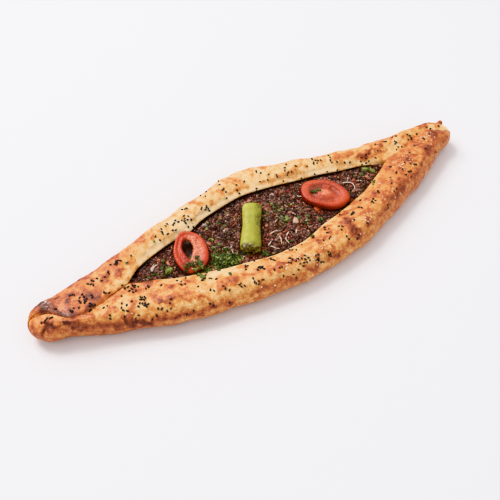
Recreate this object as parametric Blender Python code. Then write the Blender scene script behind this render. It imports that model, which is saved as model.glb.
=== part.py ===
# Minced meat pide: an open boat of baked dough, folded over a minced meat filling and closed
# at both ends, with two tomato slices, a piece of green pepper and chopped parsley on top.
# Metres, +Z up. X runs along the pide, the camera side is -Y, and the origin is on the table
# under the middle.

import math
import random

import bmesh
import bpy
from mathutils import Matrix, Vector
from mathutils.bvhtree import BVHTree

# Driving dimensions of the dough
LENGTH = 0.478
CREST = 0.0265
CREST_AT_ENDS = 0.0250
DOUGH = 0.0028
LIP_HEIGHT = 0.0185
OVER_LIP_HEIGHT = 0.0216
OVER_LIP = 0.0022
UNDER_LIP_HEIGHT = 0.0172
UNDER_LIP = 0.0012
TUCK = 0.0025
TUCK_RUN = 0.012
LIP_RUN = 0.035
OPENING_RUN = 0.020
SLOT_DEPTH = 0.0040
SLOT_RADIUS = 0.00045
BASE = 0.0048
CAP_START = 0.214
TIP_Y = 0.0093
TIP_Z = 0.0120
TIP_LIFT = 0.0032
LIFT_START = 0.190
GAP = 0.0003
RIPPLE = 0.0008

# Outline of the dough seen from above, as (x, y) stations
NEAR_EDGE = (
    (-0.214, -0.0108), (-0.170, -0.0328), (-0.110, -0.0558), (-0.050, -0.0685), (0.008, -0.0736),
    (0.050, -0.0698), (0.110, -0.0534), (0.165, -0.0331), (0.214, -0.0100),
)
FAR_EDGE = (
    (-0.214, 0.0255), (-0.170, 0.0355), (-0.110, 0.0507), (-0.050, 0.0639), (0.004, 0.0736),
    (0.050, 0.0605), (0.110, 0.0421), (0.165, 0.0330), (0.214, 0.0262),
)
LEFT_CORNER = -0.149
RIGHT_CORNER = 0.146
CORNER_Y = 0.002
NEAR_LIP = (
    (LEFT_CORNER, CORNER_Y), (-0.130, -0.0032), (-0.110, -0.0132), (-0.090, -0.0210), (-0.050, -0.0322),
    (0.000, -0.0410), (0.050, -0.0305), (0.090, -0.0227), (0.125, -0.0090), (RIGHT_CORNER, CORNER_Y),
)
FAR_LIP = (
    (LEFT_CORNER, CORNER_Y), (-0.132, 0.0140), (-0.112, 0.0219), (-0.092, 0.0258), (-0.075, 0.0276),
    (-0.056, 0.0340), (-0.004, 0.0412), (0.050, 0.0297), (0.090, 0.0198), (0.120, 0.0112),
    (RIGHT_CORNER, CORNER_Y),
)
LEFT_SEAM = (
    (-0.239, 0.0190), (-0.228, 0.0130), (-0.220, 0.0085), (-0.213, 0.0000), (-0.205, -0.0088),
    (-0.190, -0.0086), (-0.168, -0.0024), (LEFT_CORNER, CORNER_Y),
)
RIGHT_SEAM = (
    (RIGHT_CORNER, CORNER_Y), (0.169, 0.0048), (0.188, 0.0099), (0.206, 0.0145), (0.216, 0.0120),
    (0.225, 0.0030), (0.239, 0.0000),
)

# Rings and points of the dough's mesh
BODY_RINGS = 50
CAP_ANGLES = (18, 36, 54, 70, 83)
LONG_SPANS = (4, 5)

# Nub of dough at the far side of the right tip
KNOB_PLACE = (0.2335, 0.0160)
KNOB_SIZE = (0.0052, 0.0040, 0.0042)

# Filling
FILL_START = -0.1385
FILL_END = 0.1355
FILL_RINGS = 48
FILL_ACROSS = 15
FILL_EDGE = 0.0144
FILL_CROWN = 0.0168
BUMP = 0.0014
CRUMBS = 20
BED_MARGIN = 0.0050

# Seeds, as pinches of (x, y, spread, count)
SEED_LENGTH = 0.0029
SEED_WIDTH = 0.0017
SEED_APART = 0.0027
SEED_SHARE = 0.39
SEED_LOWEST = 0.0170
PINCHES = (
    (-0.195, 0.015, 0.005, 6), (-0.184, 0.007, 0.009, 12), (-0.190, -0.002, 0.007, 10),
    (-0.223, 0.002, 0.004, 5), (-0.147, 0.026, 0.006, 7), (-0.166, 0.018, 0.008, 12),
    (-0.077, 0.038, 0.013, 24), (-0.046, 0.045, 0.007, 8), (-0.013, 0.052, 0.011, 16),
    (0.022, 0.052, 0.006, 6), (0.041, 0.043, 0.012, 14), (0.081, 0.035, 0.006, 10),
    (0.110, 0.024, 0.012, 9), (0.146, 0.012, 0.006, 5), (0.175, 0.016, 0.010, 14),
    (0.196, 0.009, 0.010, 12), (0.153, -0.018, 0.011, 16), (0.113, -0.017, 0.003, 5),
    (0.094, -0.038, 0.013, 11), (0.048, -0.050, 0.015, 20), (0.007, -0.058, 0.009, 16),
    (-0.010, -0.057, 0.010, 15), (-0.029, -0.054, 0.013, 16), (-0.048, -0.054, 0.010, 11),
    (-0.088, -0.046, 0.012, 9), (-0.124, -0.028, 0.012, 11), (-0.146, -0.006, 0.006, 12),
    (-0.146, -0.021, 0.009, 16), (-0.130, -0.037, 0.007, 8), (-0.168, -0.014, 0.010, 7),
)

# Toppings
RING_CENTRE = (-0.0853, 0.0028)
RING_SIZE = (0.0224, 0.0158)
RING_TURN = math.radians(70)
RING_HOLE = (0.0085, 0.0052)
RING_HOLE_SHIFT = (0.0050, 0.0020)
RING_THICK = 0.0062
RING_UNDERSIDE = 0.0190
RING_TILT = 0.142
SLICE_CENTRE = (0.0625, -0.0035)
SLICE_SIZE = (0.0240, 0.0175)
SLICE_TURN = math.radians(-54)
SLICE_THICK = 0.0070
SLICE_UNDERSIDE = 0.0176
SLICE_TILT = 0.060
PEPPER_CENTRE = (-0.0217, -0.0010)
PEPPER_LENGTH = 0.0570
PEPPER_WIDTH = 0.0195
PEPPER_THICK = 0.0095
PEPPER_TURN = math.radians(55.5)
PEPPER_UNDERSIDE = 0.0168
HEAP_CENTRE = (-0.0610, -0.0195)
HEAP_SIZE = (0.0110, 0.0062)
HEAP_TURN = math.radians(-18)
HEAP_UNDERSIDE = 0.0156
HEAP_HEIGHT = 0.0042
HEAP_LEAVES = 11

# Small pieces on the filling, as (x, y) places
ONION_SHREDS = (
    ((-0.0114, -0.0159), (-0.0040, -0.0150), (0.0025, -0.0182)),
    ((-0.0050, -0.0215), (-0.0055, -0.0265), (-0.0084, -0.0317)),
    ((0.0069, -0.0218), (-0.0007, -0.0273), (-0.0020, -0.0350)),
    ((-0.0185, -0.0272), (-0.0155, -0.0315), (-0.0125, -0.0350)),
    ((0.0900, 0.0010), (0.0965, -0.0023), (0.0955, -0.0090), (0.0915, -0.0145)),
    ((-0.1240, 0.0060), (-0.1200, 0.0088), (-0.1160, 0.0090)),
)
ONION_THICK = 0.0014
GARLIC_PLACE = (0.0181, -0.0157)
GARLIC_SIZE = (0.0048, 0.0034, 0.0026)
LEAF_PLACES = (
    (-0.1130, -0.0030), (-0.1080, 0.0060), (-0.1220, -0.0020), (0.0080, -0.0100),
    (0.0130, 0.0050), (0.0280, -0.0210), (0.0000, 0.0150), (0.0240, 0.0120), (-0.0420, 0.0200),
    (-0.0560, 0.0030), (0.1050, 0.0020), (0.1180, 0.0040), (0.0300, 0.0000), (0.0350, 0.0200),
)
LEAF_SIZE = 0.0072
LEAF_THICK = 0.0009

CRUST_COLOUR = (0.72, 0.36, 0.12, 1)
MEAT_COLOUR = (0.10, 0.035, 0.022, 1)
TOMATO_COLOUR = (0.68, 0.10, 0.035, 1)
PEPPER_COLOUR = (0.52, 0.55, 0.06, 1)
PARSLEY_COLOUR = (0.08, 0.17, 0.03, 1)


def clear_scene():
    for old in list(bpy.data.objects):
        bpy.data.objects.remove(old)


def new_material(name, colour, roughness):
    made = bpy.data.materials.new(name)
    made.use_nodes = True
    shader = made.node_tree.nodes["Principled BSDF"]
    shader.inputs["Base Color"].default_value = colour
    shader.inputs["Roughness"].default_value = roughness
    shader.inputs["Metallic"].default_value = 0
    return made


def new_object(name, bm, collection, material=None):
    """The bmesh as a named smooth-shaded object, with its faces turned outwards."""
    bmesh.ops.recalc_face_normals(bm, faces=bm.faces)
    mesh = bpy.data.meshes.new(name)
    bm.to_mesh(mesh)
    bm.free()
    mesh.shade_smooth()
    made = bpy.data.objects.new(name, mesh)
    collection.objects.link(made)
    if material:
        mesh.materials.append(material)
    return made


def mix(a, b, share):
    return a + (b - a) * share


def mix_points(p, q, share):
    return (mix(p[0], q[0], share), mix(p[1], q[1], share))


def ease(low, high, x):
    """0 below low, 1 above high, and smooth between. low may be above high."""
    share = min(1, max(0, (x - low) / (high - low)))
    return share * share * (3 - 2 * share)


def along(stations, x):
    """A smooth value at x through (x, value) stations, with no overshoot between them."""
    xs = [s[0] for s in stations]
    if x <= xs[0]:
        return stations[0][1]
    if x >= xs[-1]:
        return stations[-1][1]
    i = max(k for k in range(len(xs) - 1) if xs[k] <= x)

    def rise(k):
        return (stations[k + 1][1] - stations[k][1]) / (xs[k + 1] - xs[k])

    def slope(k):
        if k == 0:
            return rise(0)
        if k == len(xs) - 1:
            return rise(k - 1)
        before, after = rise(k - 1), rise(k)
        return 0 if before * after <= 0 else 2 * before * after / (before + after)

    step = xs[i + 1] - xs[i]
    t = (x - xs[i]) / step
    return (
        (2 * t**3 - 3 * t**2 + 1) * stations[i][1]
        + (t**3 - 2 * t**2 + t) * step * slope(i)
        + (3 * t**2 - 2 * t**3) * stations[i + 1][1]
        + (t**3 - t**2) * step * slope(i + 1)
    )


def ripple(x, phase):
    """The hand-made unevenness of the dough's edges, about 1 at most."""
    return 0.6 * math.sin(x / 0.0153 + phase) + 0.4 * math.sin(x / 0.0067 + 2.3 * phase)


def cap_share(x):
    """1 along the body, falling to 0 at the two rounded tips."""
    past = max(0, abs(x) - CAP_START) / (LENGTH / 2 - CAP_START)
    return math.sqrt(max(0, 1 - past * past))


def inside_corners(x, run):
    """0 past the corners of the opening, rising to 1 over a run of that length inside each."""
    return ease(LEFT_CORNER, LEFT_CORNER + run, x) * ease(RIGHT_CORNER, RIGHT_CORNER - run, x)


def openness(x):
    """0 where the dough is closed, 1 where the filling has its full depth."""
    return inside_corners(x, OPENING_RUN)


def lips(x):
    """((y, z, radius) of the near flap's lip, the same of the far one's), before the tips' rounding."""
    inside = inside_corners(x, LIP_RUN)
    over_z = mix(OVER_LIP_HEIGHT, LIP_HEIGHT, inside)
    over_r = mix(OVER_LIP, DOUGH, inside)
    under_z = mix(UNDER_LIP_HEIGHT, LIP_HEIGHT, inside)
    under_r = mix(UNDER_LIP, DOUGH, inside)
    if x < LEFT_CORNER:
        near_y = far_y = along(LEFT_SEAM, x)
    elif x > RIGHT_CORNER:
        near_y = far_y = along(RIGHT_SEAM, x)
    else:
        near_y = along(NEAR_LIP, x) + RIPPLE * ripple(x, 1.0) * inside
        far_y = along(FAR_LIP, x) + RIPPLE * ripple(x, 4.0) * inside
    tuck = TUCK * (1 - inside_corners(x, TUCK_RUN))
    if x < 0:
        return (near_y + tuck, under_z, under_r), (far_y, over_z, over_r)
    return (near_y, over_z, over_r), (far_y - tuck, under_z, under_r)


def flap(edge, lip, crest, fullness, inward):
    """One side of the dough's section, from its foot up and over to its lip and the wall behind it.
    inward is +1 on the near side and -1 on the far side."""
    y, z, radius = lip
    width = abs(y - edge)
    rise = min(0.018, 0.48 * width)

    def at(inset, height):
        return (edge + inward * inset, height)

    outside = [
        at(0.0120 * fullness, 0),
        at(0.0036 * fullness, 0.0038),
        at(0, 0.0110),
        at(0.0028 * fullness, 0.0188),
        at(0.50 * rise, crest - 0.0016),
        at(rise, crest),
        (mix(edge + inward * rise, y, 0.55), mix(crest, z + radius, 0.50)),
        (y - inward * 1.3 * radius, z + radius),
        (y, z),
    ]
    wall = [
        (y - inward * 1.3 * radius, z - radius),
        (mix(edge, y, 0.50), 0.0157),
        at(0.0095 * fullness, 0.0108),
        at(0.0150 * fullness, BASE + 0.0006),
    ]
    return outside, wall


def contour(x):
    """The dough's closed section at x, as (y, z) control points that start under the middle."""
    body_x = min(CAP_START, max(-CAP_START, x))
    near_edge = along(NEAR_EDGE, body_x) + RIPPLE * ripple(x, 0.0)
    far_edge = along(FAR_EDGE, body_x) + RIPPLE * ripple(x, 2.0)
    ends = ease(0.10, 0.19, abs(x))
    crest = mix(CREST, CREST_AT_ENDS, ends)
    fullness = min(1, (far_edge - near_edge) / 0.080)
    near_lip, far_lip = lips(x)
    near_out, near_wall = flap(near_edge, near_lip, crest + RIPPLE * ripple(x, 3.0), fullness, 1)
    far_out, far_wall = flap(far_edge, far_lip, crest + RIPPLE * ripple(x, 5.0), fullness, -1)
    middle = (near_edge + far_edge) / 2
    inner = near_wall + [(middle, BASE)] + far_wall[::-1]
    side = 1 if x < 0 else -1
    over = far_lip if x < 0 else near_lip
    under = near_lip if x < 0 else far_lip
    slot_z = (over[1] - over[2] + under[1] + under[2]) / 2
    slot_y = over[0] + side * SLOT_DEPTH
    shown = openness(x)
    for i, point in enumerate(inner):
        angle = math.radians(mix(-80, 80, i / (len(inner) - 1)))
        end = (slot_y + side * SLOT_RADIUS * math.cos(angle), slot_z + side * SLOT_RADIUS * math.sin(angle))
        inner[i] = mix_points(end, point, shown)
    points = [(middle, 0)] + near_out + inner + far_out[::-1]
    lift = TIP_LIFT * ease(LIFT_START, CAP_START, abs(x))
    share = cap_share(x)
    return [(mix(TIP_Y, y, share), mix(TIP_Z, z + lift * (1 - z / CREST), share)) for y, z in points]


def spline_point(points, i, t):
    """A point of the closed centripetal Catmull-Rom curve between points i and i + 1."""
    p = [Vector(points[(i + k) % len(points)]) for k in (-1, 0, 1, 2)]
    knots = [0]
    for a, b in zip(p, p[1:]):
        knots.append(knots[-1] + max(1e-6, (b - a).length) ** 0.5)
    u = mix(knots[1], knots[2], t)

    def blend(a, b, low, high):
        return a.lerp(b, (u - low) / (high - low))

    first = [blend(p[k], p[k + 1], knots[k], knots[k + 1]) for k in range(3)]
    second = [blend(first[k], first[k + 1], knots[k], knots[k + 2]) for k in range(2)]
    return blend(second[0], second[1], knots[1], knots[2])


def section(x):
    """The points of one ring of the dough's mesh."""
    points = contour(x)
    long_spans = set(LONG_SPANS) | {len(points) - 1 - i for i in LONG_SPANS}
    ring = []
    for i in range(len(points)):
        steps = (0, 0.5) if i in long_spans else (0,)
        ring += [Vector((x, *spline_point(points, i, t))) for t in steps]
    return ring


def loft(rings, ends=None):
    """A closed mesh through rings of equal count. ends are the two poles, or None for flat caps."""
    bm = bmesh.new()
    grid = [[bm.verts.new(p) for p in ring] for ring in rings]
    count = len(grid[0])
    for a, b in zip(grid, grid[1:]):
        for i in range(count):
            j = (i + 1) % count
            bm.faces.new((a[i], a[j], b[j], b[i]))
    for ring, pole in zip((grid[0], grid[-1]), ends or (None, None)):
        if pole is None:
            bm.faces.new(ring)
            continue
        tip = bm.verts.new(pole)
        for i in range(count):
            bm.faces.new((ring[i], ring[(i + 1) % count], tip))
    return bm


def crust_places():
    """The x of each ring, closer together on the rounded tips."""
    reach = LENGTH / 2 - CAP_START
    cap = [CAP_START + reach * math.sin(math.radians(a)) for a in CAP_ANGLES]
    body = [mix(-CAP_START, CAP_START, i / BODY_RINGS) for i in range(BODY_RINGS + 1)]
    return [-x for x in reversed(cap)] + body + cap


def tree_of(made):
    """A tree for finding a mesh object's surface from above."""
    bpy.context.view_layer.update()
    return BVHTree.FromObject(made, bpy.context.evaluated_depsgraph_get())


def surface_at(tree, x, y):
    """The top of the surface at (x, y), as (point, normal), or None past its edge."""
    point, normal, _, _ = tree.ray_cast(Vector((x, y, 0.1)), Vector((0, 0, -1)))
    return None if point is None else (point, normal)


def facing(normal, turn):
    """A rotation that stands Z on the normal, turned by turn about it."""
    return normal.to_track_quat("Z", "Y").to_matrix().to_4x4() @ Matrix.Rotation(turn, 4, "Z")


def add_grain(name, bm, point, normal, turn, size, collection, sink=0.15):
    """A small solid of that size (x, y, z) that stands partly in the surface at point."""
    place = point + normal * size[2] * (0.5 - sink)
    matrix = Matrix.Translation(place) @ facing(normal, turn) @ Matrix.Diagonal((*size, 1))
    bmesh.ops.transform(bm, matrix=matrix, verts=bm.verts)
    return new_object(name, bm, collection)


def drop_scraps(mesh):
    """Keeps the mesh's one main shell, without loose crumbs or hollows shut in by a union."""
    bm = bmesh.new()
    bm.from_mesh(mesh)
    left, shells = set(bm.faces), []
    while left:
        shell = {left.pop()}
        rim = list(shell)
        while rim:
            near = {f for e in rim.pop().edges for f in e.link_faces} & left
            left -= near
            shell |= near
            rim += near
        shells.append(shell)
    main_shell = max(shells, key=len)
    bmesh.ops.delete(bm, geom=[f for s in shells if s is not main_shell for f in s], context="FACES")
    bm.to_mesh(mesh)
    bm.free()


def join_all(target, collection):
    """Fuses a collection's solids to the target and removes them."""
    union = target.modifiers.new("join", "BOOLEAN")
    union.operation = "UNION"
    union.operand_type = "COLLECTION"
    union.collection = collection
    union.solver = "MANIFOLD"
    bpy.context.view_layer.update()
    graph = bpy.context.evaluated_depsgraph_get()
    joined = bpy.data.meshes.new_from_object(target.evaluated_get(graph))
    drop_scraps(joined)
    target.modifiers.clear()
    target.data = joined
    for old in list(collection.objects):
        bpy.data.objects.remove(old)
    bpy.data.collections.remove(collection)


def add_helper_collection(name):
    made = bpy.data.collections.new(name)
    bpy.context.scene.collection.children.link(made)
    return made


def scatter_seeds(tree, collection):
    """Seeds in the baker's uneven pinches, clear of one another."""
    draw = random.Random(11)
    placed = []
    for x, y, spread, count in PINCHES:
        for _ in range(round(count * SEED_SHARE)):
            px, py = draw.gauss(x, 0.55 * spread), draw.gauss(y, 0.55 * spread)
            turn = draw.uniform(0, math.pi)
            found = surface_at(tree, px, py)
            if found is None or found[1].z < 0.55 or found[0].z < SEED_LOWEST:
                continue
            if any((found[0] - other).length < SEED_APART for other in placed):
                continue
            placed.append(found[0])
            bm = bmesh.new()
            bmesh.ops.create_uvsphere(bm, u_segments=5, v_segments=4, radius=0.5)
            size = (SEED_LENGTH, SEED_WIDTH, 0.85 * SEED_WIDTH)
            add_grain("seed", bm, *found, turn, size, collection)


def add_knob(tree, collection):
    """The little nub of dough left by the pinch at the right tip."""
    bm = bmesh.new()
    bmesh.ops.create_uvsphere(bm, u_segments=7, v_segments=5, radius=0.5)
    add_grain("knob", bm, *surface_at(tree, *KNOB_PLACE), 0.4, KNOB_SIZE, collection, sink=0.3)


def make_crust(parts, material):
    rings = [section(x) for x in crust_places()]
    tips = [(-LENGTH / 2, TIP_Y, TIP_Z), (LENGTH / 2, TIP_Y, TIP_Z)]
    crust = new_object("crust", loft(rings, tips), parts, material)
    tree = tree_of(crust)
    grains = add_helper_collection("grains")
    scatter_seeds(tree, grains)
    add_knob(tree, grains)
    join_all(crust, grains)


def footprint(x, y, centre, size, turn):
    """How far (x, y) is along and across an oval from its centre, as shares of its half sizes."""
    dx, dy = x - centre[0], y - centre[1]
    a = dx * math.cos(turn) + dy * math.sin(turn)
    b = -dx * math.sin(turn) + dy * math.cos(turn)
    return a / size[0], b / size[1]


def pressed(x, y, z):
    """The filling's height z at (x, y), lowered to the beds that the toppings press into it."""
    pepper_size = (PEPPER_LENGTH / 2, PEPPER_WIDTH / 2)
    beds = (
        (RING_CENTRE, RING_SIZE, RING_TURN, RING_UNDERSIDE, (RING_TILT, 0), 2),
        (SLICE_CENTRE, SLICE_SIZE, SLICE_TURN, SLICE_UNDERSIDE, (0, SLICE_TILT), 2),
        (PEPPER_CENTRE, pepper_size, PEPPER_TURN, PEPPER_UNDERSIDE, (0, 0), 8),
        (HEAP_CENTRE, HEAP_SIZE, HEAP_TURN, HEAP_UNDERSIDE, (0, 0), 2),
    )
    for centre, size, turn, underside, tilt, corner in beds:
        wide = (size[0] + BED_MARGIN, size[1] + BED_MARGIN)
        a, b = footprint(x, y, centre, wide, turn)
        past = (abs(a) ** corner + abs(b) ** corner) ** (1 / corner)
        if past < 1.25:
            height = underside + tilt[0] * a * wide[0] + tilt[1] * b * wide[1] - GAP
            z = min(z, mix(z, height, 1 - ease(1, 1.25, past)))
    return z


def hollow(x):
    """The section's control points at x as the dough's mesh has them, straight between its rings."""
    places = crust_places()
    i = max(k for k in range(len(places) - 1) if places[k] <= x)
    share = (x - places[i]) / (places[i + 1] - places[i])
    return [mix_points(p, q, share) for p, q in zip(contour(places[i]), contour(places[i + 1]))]


def filling_section(x, draw):
    """One ring of the filling: its floor and walls follow the hollow, and its top is crumbly."""
    points = hollow(x)
    near_lip, far_lip = points[9], points[19]
    (near_root, near_roof, near_wall, near_floor) = points[10:14]
    (far_floor, far_wall, far_roof, far_root) = points[15:19]
    edge = min(FILL_EDGE, near_root[1] - 0.0012, far_root[1] - 0.0012)
    near_y, far_y = mix(near_root[0], near_roof[0], 0.3), mix(far_root[0], far_roof[0], 0.3)

    def inside(p, inset, lift):
        y = p[0] + math.copysign(inset, points[14][0] - p[0])
        return Vector((x, y, p[1] + lift))

    ring = [
        inside(points[14], 0, 0.0010), inside(near_floor, 0.0004, 0.0010), inside(near_wall, 0.0010, 0),
        Vector((x, mix(near_roof[0], near_root[0], 0.1), min(edge, near_roof[1] - 0.0010))),
    ]
    shown = openness(x)
    for i in range(FILL_ACROSS):
        share = (i + 0.5) / FILL_ACROSS
        y = mix(near_y, far_y, share)
        inner = math.sin(math.pi * share)
        z = mix(edge, FILL_CROWN, min(1, 1.4 * inner) * shown)
        z += BUMP * draw.uniform(-1, 1) * ease(0.05, 0.35, inner)
        z = pressed(x, y, z)
        reach = min(y - near_lip[0], far_lip[0] - y)
        ring.append(Vector((x, y, min(z, mix(edge, 0.1, ease(-0.001, 0.006, reach))))))
    ring += [
        Vector((x, mix(far_roof[0], far_root[0], 0.1), min(edge, far_roof[1] - 0.0010))),
        inside(far_wall, 0.0010, 0), inside(far_floor, 0.0004, 0.0010),
    ]
    return ring


def add_strip(name, route, tree, collection):
    """A shred: a thin strip that lies along a route over the filling."""
    points = []
    for a, b in zip(route, route[1:]):
        points += [mix_points(a, b, t) for t in (0, 0.5)]
    points.append(route[-1])
    found = [surface_at(tree, *p) for p in points]
    if None in found:
        return
    lie = max(f[0].z for f in found)
    rings = []
    for i, (p, f) in enumerate(zip(points, found)):
        before, after = points[max(0, i - 1)], points[min(len(points) - 1, i + 1)]
        across = Vector((before[1] - after[1], after[0] - before[0], 0)).normalized()
        taper = 0.55 if i in (0, len(points) - 1) else 1
        centre = Vector((*p, mix(f[0].z, lie, 0.6) + 0.0003))
        wide, high = across * ONION_THICK * 0.6 * taper, Vector((0, 0, ONION_THICK * 0.5 * taper))
        rings.append([centre - wide - high, centre + wide - high, centre + wide + high, centre - wide + high])
    new_object(name, loft(rings), collection)


def add_leaf(name, point, normal, turn, size, collection):
    """A chopped leaf: a thin bent plate with a wavy outline, rooted in what it lies on."""
    lobes = 7
    rings = []
    for spread, height in ((0.55, -1.8), (1, -0.2), (1, 0.8)):
        ring = []
        for i in range(lobes):
            angle = 2 * math.pi * i / lobes
            reach = 0.5 * spread * (1 + 0.22 * math.sin(3 * angle + turn))
            x, y = reach * math.cos(angle), 0.72 * reach * math.sin(angle)
            ring.append(Vector((x, y, height * LEAF_THICK / size + 0.5 * (x * x - y * y))))
        rings.append(ring)
    bm = loft(rings)
    bmesh.ops.scale(bm, vec=(size, size, size), verts=bm.verts)
    bmesh.ops.transform(bm, matrix=Matrix.Translation(point) @ facing(normal, turn), verts=bm.verts)
    return new_object(name, bm, collection)


def clear_of_toppings(x, y, margin):
    """True where a small piece of that radius lies on bare filling, clear of lips and toppings."""
    near, far = lips(x)
    if y - margin < near[0] + 0.001 or y + margin > far[0] - 0.001:
        return False
    ovals = (
        (RING_CENTRE, RING_SIZE, RING_TURN), (SLICE_CENTRE, SLICE_SIZE, SLICE_TURN),
        (HEAP_CENTRE, (HEAP_SIZE[0] + 0.003, HEAP_SIZE[1] + 0.003), HEAP_TURN),
    )
    for centre, size, turn in ovals:
        a, b = footprint(x, y, centre, (size[0] + margin + 0.001, size[1] + margin + 0.001), turn)
        if math.hypot(a, b) < 1:
            return False
    half = (PEPPER_LENGTH / 2 + margin + 0.001, PEPPER_WIDTH / 2 + margin + 0.001)
    a, b = footprint(x, y, PEPPER_CENTRE, half, PEPPER_TURN)
    return max(abs(a), abs(b)) > 1


def make_filling(parts, material):
    draw = random.Random(5)
    places = [mix(FILL_START, FILL_END, i / FILL_RINGS) for i in range(FILL_RINGS + 1)]
    filling = new_object("filling", loft([filling_section(x, draw) for x in places]), parts, material)
    tree = tree_of(filling)
    bits = add_helper_collection("bits")
    for i, route in enumerate(ONION_SHREDS):
        add_strip(f"onion_{i}", route, tree, bits)
    bm = bmesh.new()
    bmesh.ops.create_icosphere(bm, subdivisions=1, radius=1)
    add_grain("garlic", bm, *surface_at(tree, *GARLIC_PLACE), 0.5, GARLIC_SIZE, bits, sink=-0.2)
    for i, (x, y) in enumerate(LEAF_PLACES):
        if clear_of_toppings(x, y, 0.3 * LEAF_SIZE):
            size = LEAF_SIZE * draw.uniform(0.7, 1.0)
            add_leaf(f"leaf_{i}", *surface_at(tree, x, y), 1.7 * i, size, bits)
    added = 0
    while added < CRUMBS:
        x, y = draw.uniform(FILL_START, FILL_END), draw.uniform(-0.04, 0.04)
        radius = draw.uniform(0.0016, 0.0025)
        if not clear_of_toppings(x, y, radius):
            continue
        bm = bmesh.new()
        bmesh.ops.create_icosphere(bm, subdivisions=1, radius=1)
        size = (radius * draw.uniform(0.8, 1.3), radius, 0.7 * radius)
        add_grain(f"crumb_{added}", bm, *surface_at(tree, x, y), draw.uniform(0, 3), size, bits, sink=0.1)
        added += 1
    join_all(filling, bits)


def turned(profile, steps):
    """A turned solid: the profile of (radius, height) points spun once about Z."""
    bm = bmesh.new()
    line = [bm.verts.new((r, 0, z)) for r, z in profile]
    edges = [bm.edges.new(pair) for pair in zip(line, line[1:])]
    bmesh.ops.spin(
        bm, geom=line + edges, cent=(0, 0, 0), axis=(0, 0, 1), angle=2 * math.pi, steps=steps, use_merge=True
    )
    bmesh.ops.remove_doubles(bm, verts=bm.verts, dist=1e-5)
    return bm


def make_tomato_ring(parts, material):
    """The left slice: its seeds have fallen out on one side, which leaves a hole."""
    profile = (
        (0.02, 0.12), (0.90, 0), (1, 0.30), (1, 0.70), (0.90, 1), (0.47, 0.86), (0.12, 0.92), (0, 0.60),
        (0.02, 0.12),
    )
    bm = turned([(1 + r, z * RING_THICK) for r, z in profile], 24)
    for v in bm.verts:
        angle = math.atan2(v.co.y, v.co.x)
        outward = v.co.xy.length - 1
        wave = 1 + 0.03 * math.sin(3 * angle + 0.6) + 0.02 * math.sin(5 * angle)
        unit = Vector((math.cos(angle), math.sin(angle)))
        hole = Vector(RING_HOLE_SHIFT) + unit * Vector(RING_HOLE)
        v.co.xy = hole.lerp(wave * unit * Vector(RING_SIZE), outward)
    ring = new_object("tomato_ring", bm, parts, material)
    ring.location = (*RING_CENTRE, RING_UNDERSIDE)
    ring.rotation_euler = (0, -math.atan(RING_TILT), RING_TURN)


def make_tomato_slice(parts, material):
    """The right slice: a thick wall, a sunken ring of seed chambers and a pale core."""
    profile = (
        (0, 0), (0.93, 0), (1, 0.25), (1, 0.75), (0.93, 1), (0.72, 1), (0.58, 0.80), (0.40, 0.76),
        (0.26, 0.92), (0, 0.96),
    )
    bm = turned([(r, z * SLICE_THICK) for r, z in profile], 24)
    for v in bm.verts:
        angle = math.atan2(v.co.y, v.co.x)
        v.co.xy *= Vector(SLICE_SIZE) * (1 + 0.03 * math.sin(2 * angle + 1) + 0.02 * math.sin(5 * angle))
    oval = new_object("tomato_slice", bm, parts, material)
    oval.location = (*SLICE_CENTRE, SLICE_UNDERSIDE)
    oval.rotation_euler = (math.atan(SLICE_TILT), 0, SLICE_TURN)


def make_pepper(parts, material):
    """A cut length of long green pepper, softened flat, with a waist and rounded cut ends."""
    stations = (
        (0, 0.55), (0.03, 0.88), (0.10, 1), (0.35, 0.93), (0.55, 0.86), (0.80, 0.95), (0.96, 0.92), (1, 0.60),
    )
    sides, lengths = 12, 12
    rings = []
    for i in range(lengths + 1):
        t = i / lengths
        fullness = along(stations, t)
        wide = fullness * PEPPER_WIDTH / 2
        high = mix(0.55, 1, ease(0.5, 1, fullness)) * PEPPER_THICK / 2
        ring = []
        for j in range(sides):
            angle = 2 * math.pi * j / sides
            y = wide * math.copysign(abs(math.cos(angle)) ** 0.8, math.cos(angle))
            z = high * math.copysign(abs(math.sin(angle)) ** 0.8, math.sin(angle))
            ring.append(Vector(((t - 0.5) * PEPPER_LENGTH, y, z + PEPPER_THICK / 2)))
        rings.append(ring)
    pepper = new_object("pepper_piece", loft(rings), parts, material)
    pepper.location = (*PEPPER_CENTRE, PEPPER_UNDERSIDE)
    pepper.rotation_euler = (0, 0, PEPPER_TURN)


def make_parsley(parts, material):
    """The pinch of chopped parsley by the left tomato: a low core with leaves fused on."""
    bm = bmesh.new()
    bmesh.ops.create_icosphere(bm, subdivisions=2, radius=1)
    bmesh.ops.scale(bm, vec=(*HEAP_SIZE, HEAP_HEIGHT), verts=bm.verts)
    everything = bm.verts[:] + bm.edges[:] + bm.faces[:]
    bmesh.ops.bisect_plane(bm, geom=everything, plane_co=(0, 0, 0), plane_no=(0, 0, -1), clear_outer=True)
    bmesh.ops.holes_fill(bm, edges=[e for e in bm.edges if e.is_boundary])
    heap = new_object("parsley_heap", bm, parts, material)
    tree = tree_of(heap)
    leaves = add_helper_collection("leaves")
    draw = random.Random(3)
    for i in range(HEAP_LEAVES):
        angle, reach = 2.4 * i, 0.86 * math.sqrt((i + 0.5) / HEAP_LEAVES)
        x, y = reach * HEAP_SIZE[0] * math.cos(angle), reach * HEAP_SIZE[1] * math.sin(angle)
        point, normal = surface_at(tree, x, y)
        upright = normal.lerp(Vector((0, 0, 1)), 0.6).normalized()
        turn, size = draw.uniform(0, 6), LEAF_SIZE * draw.uniform(0.5, 0.75)
        add_leaf(f"sprig_{i}", point, upright, turn, size, leaves)
    join_all(heap, leaves)
    heap.location = (*HEAP_CENTRE, HEAP_UNDERSIDE)
    heap.rotation_euler = (0, 0, HEAP_TURN)


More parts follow.
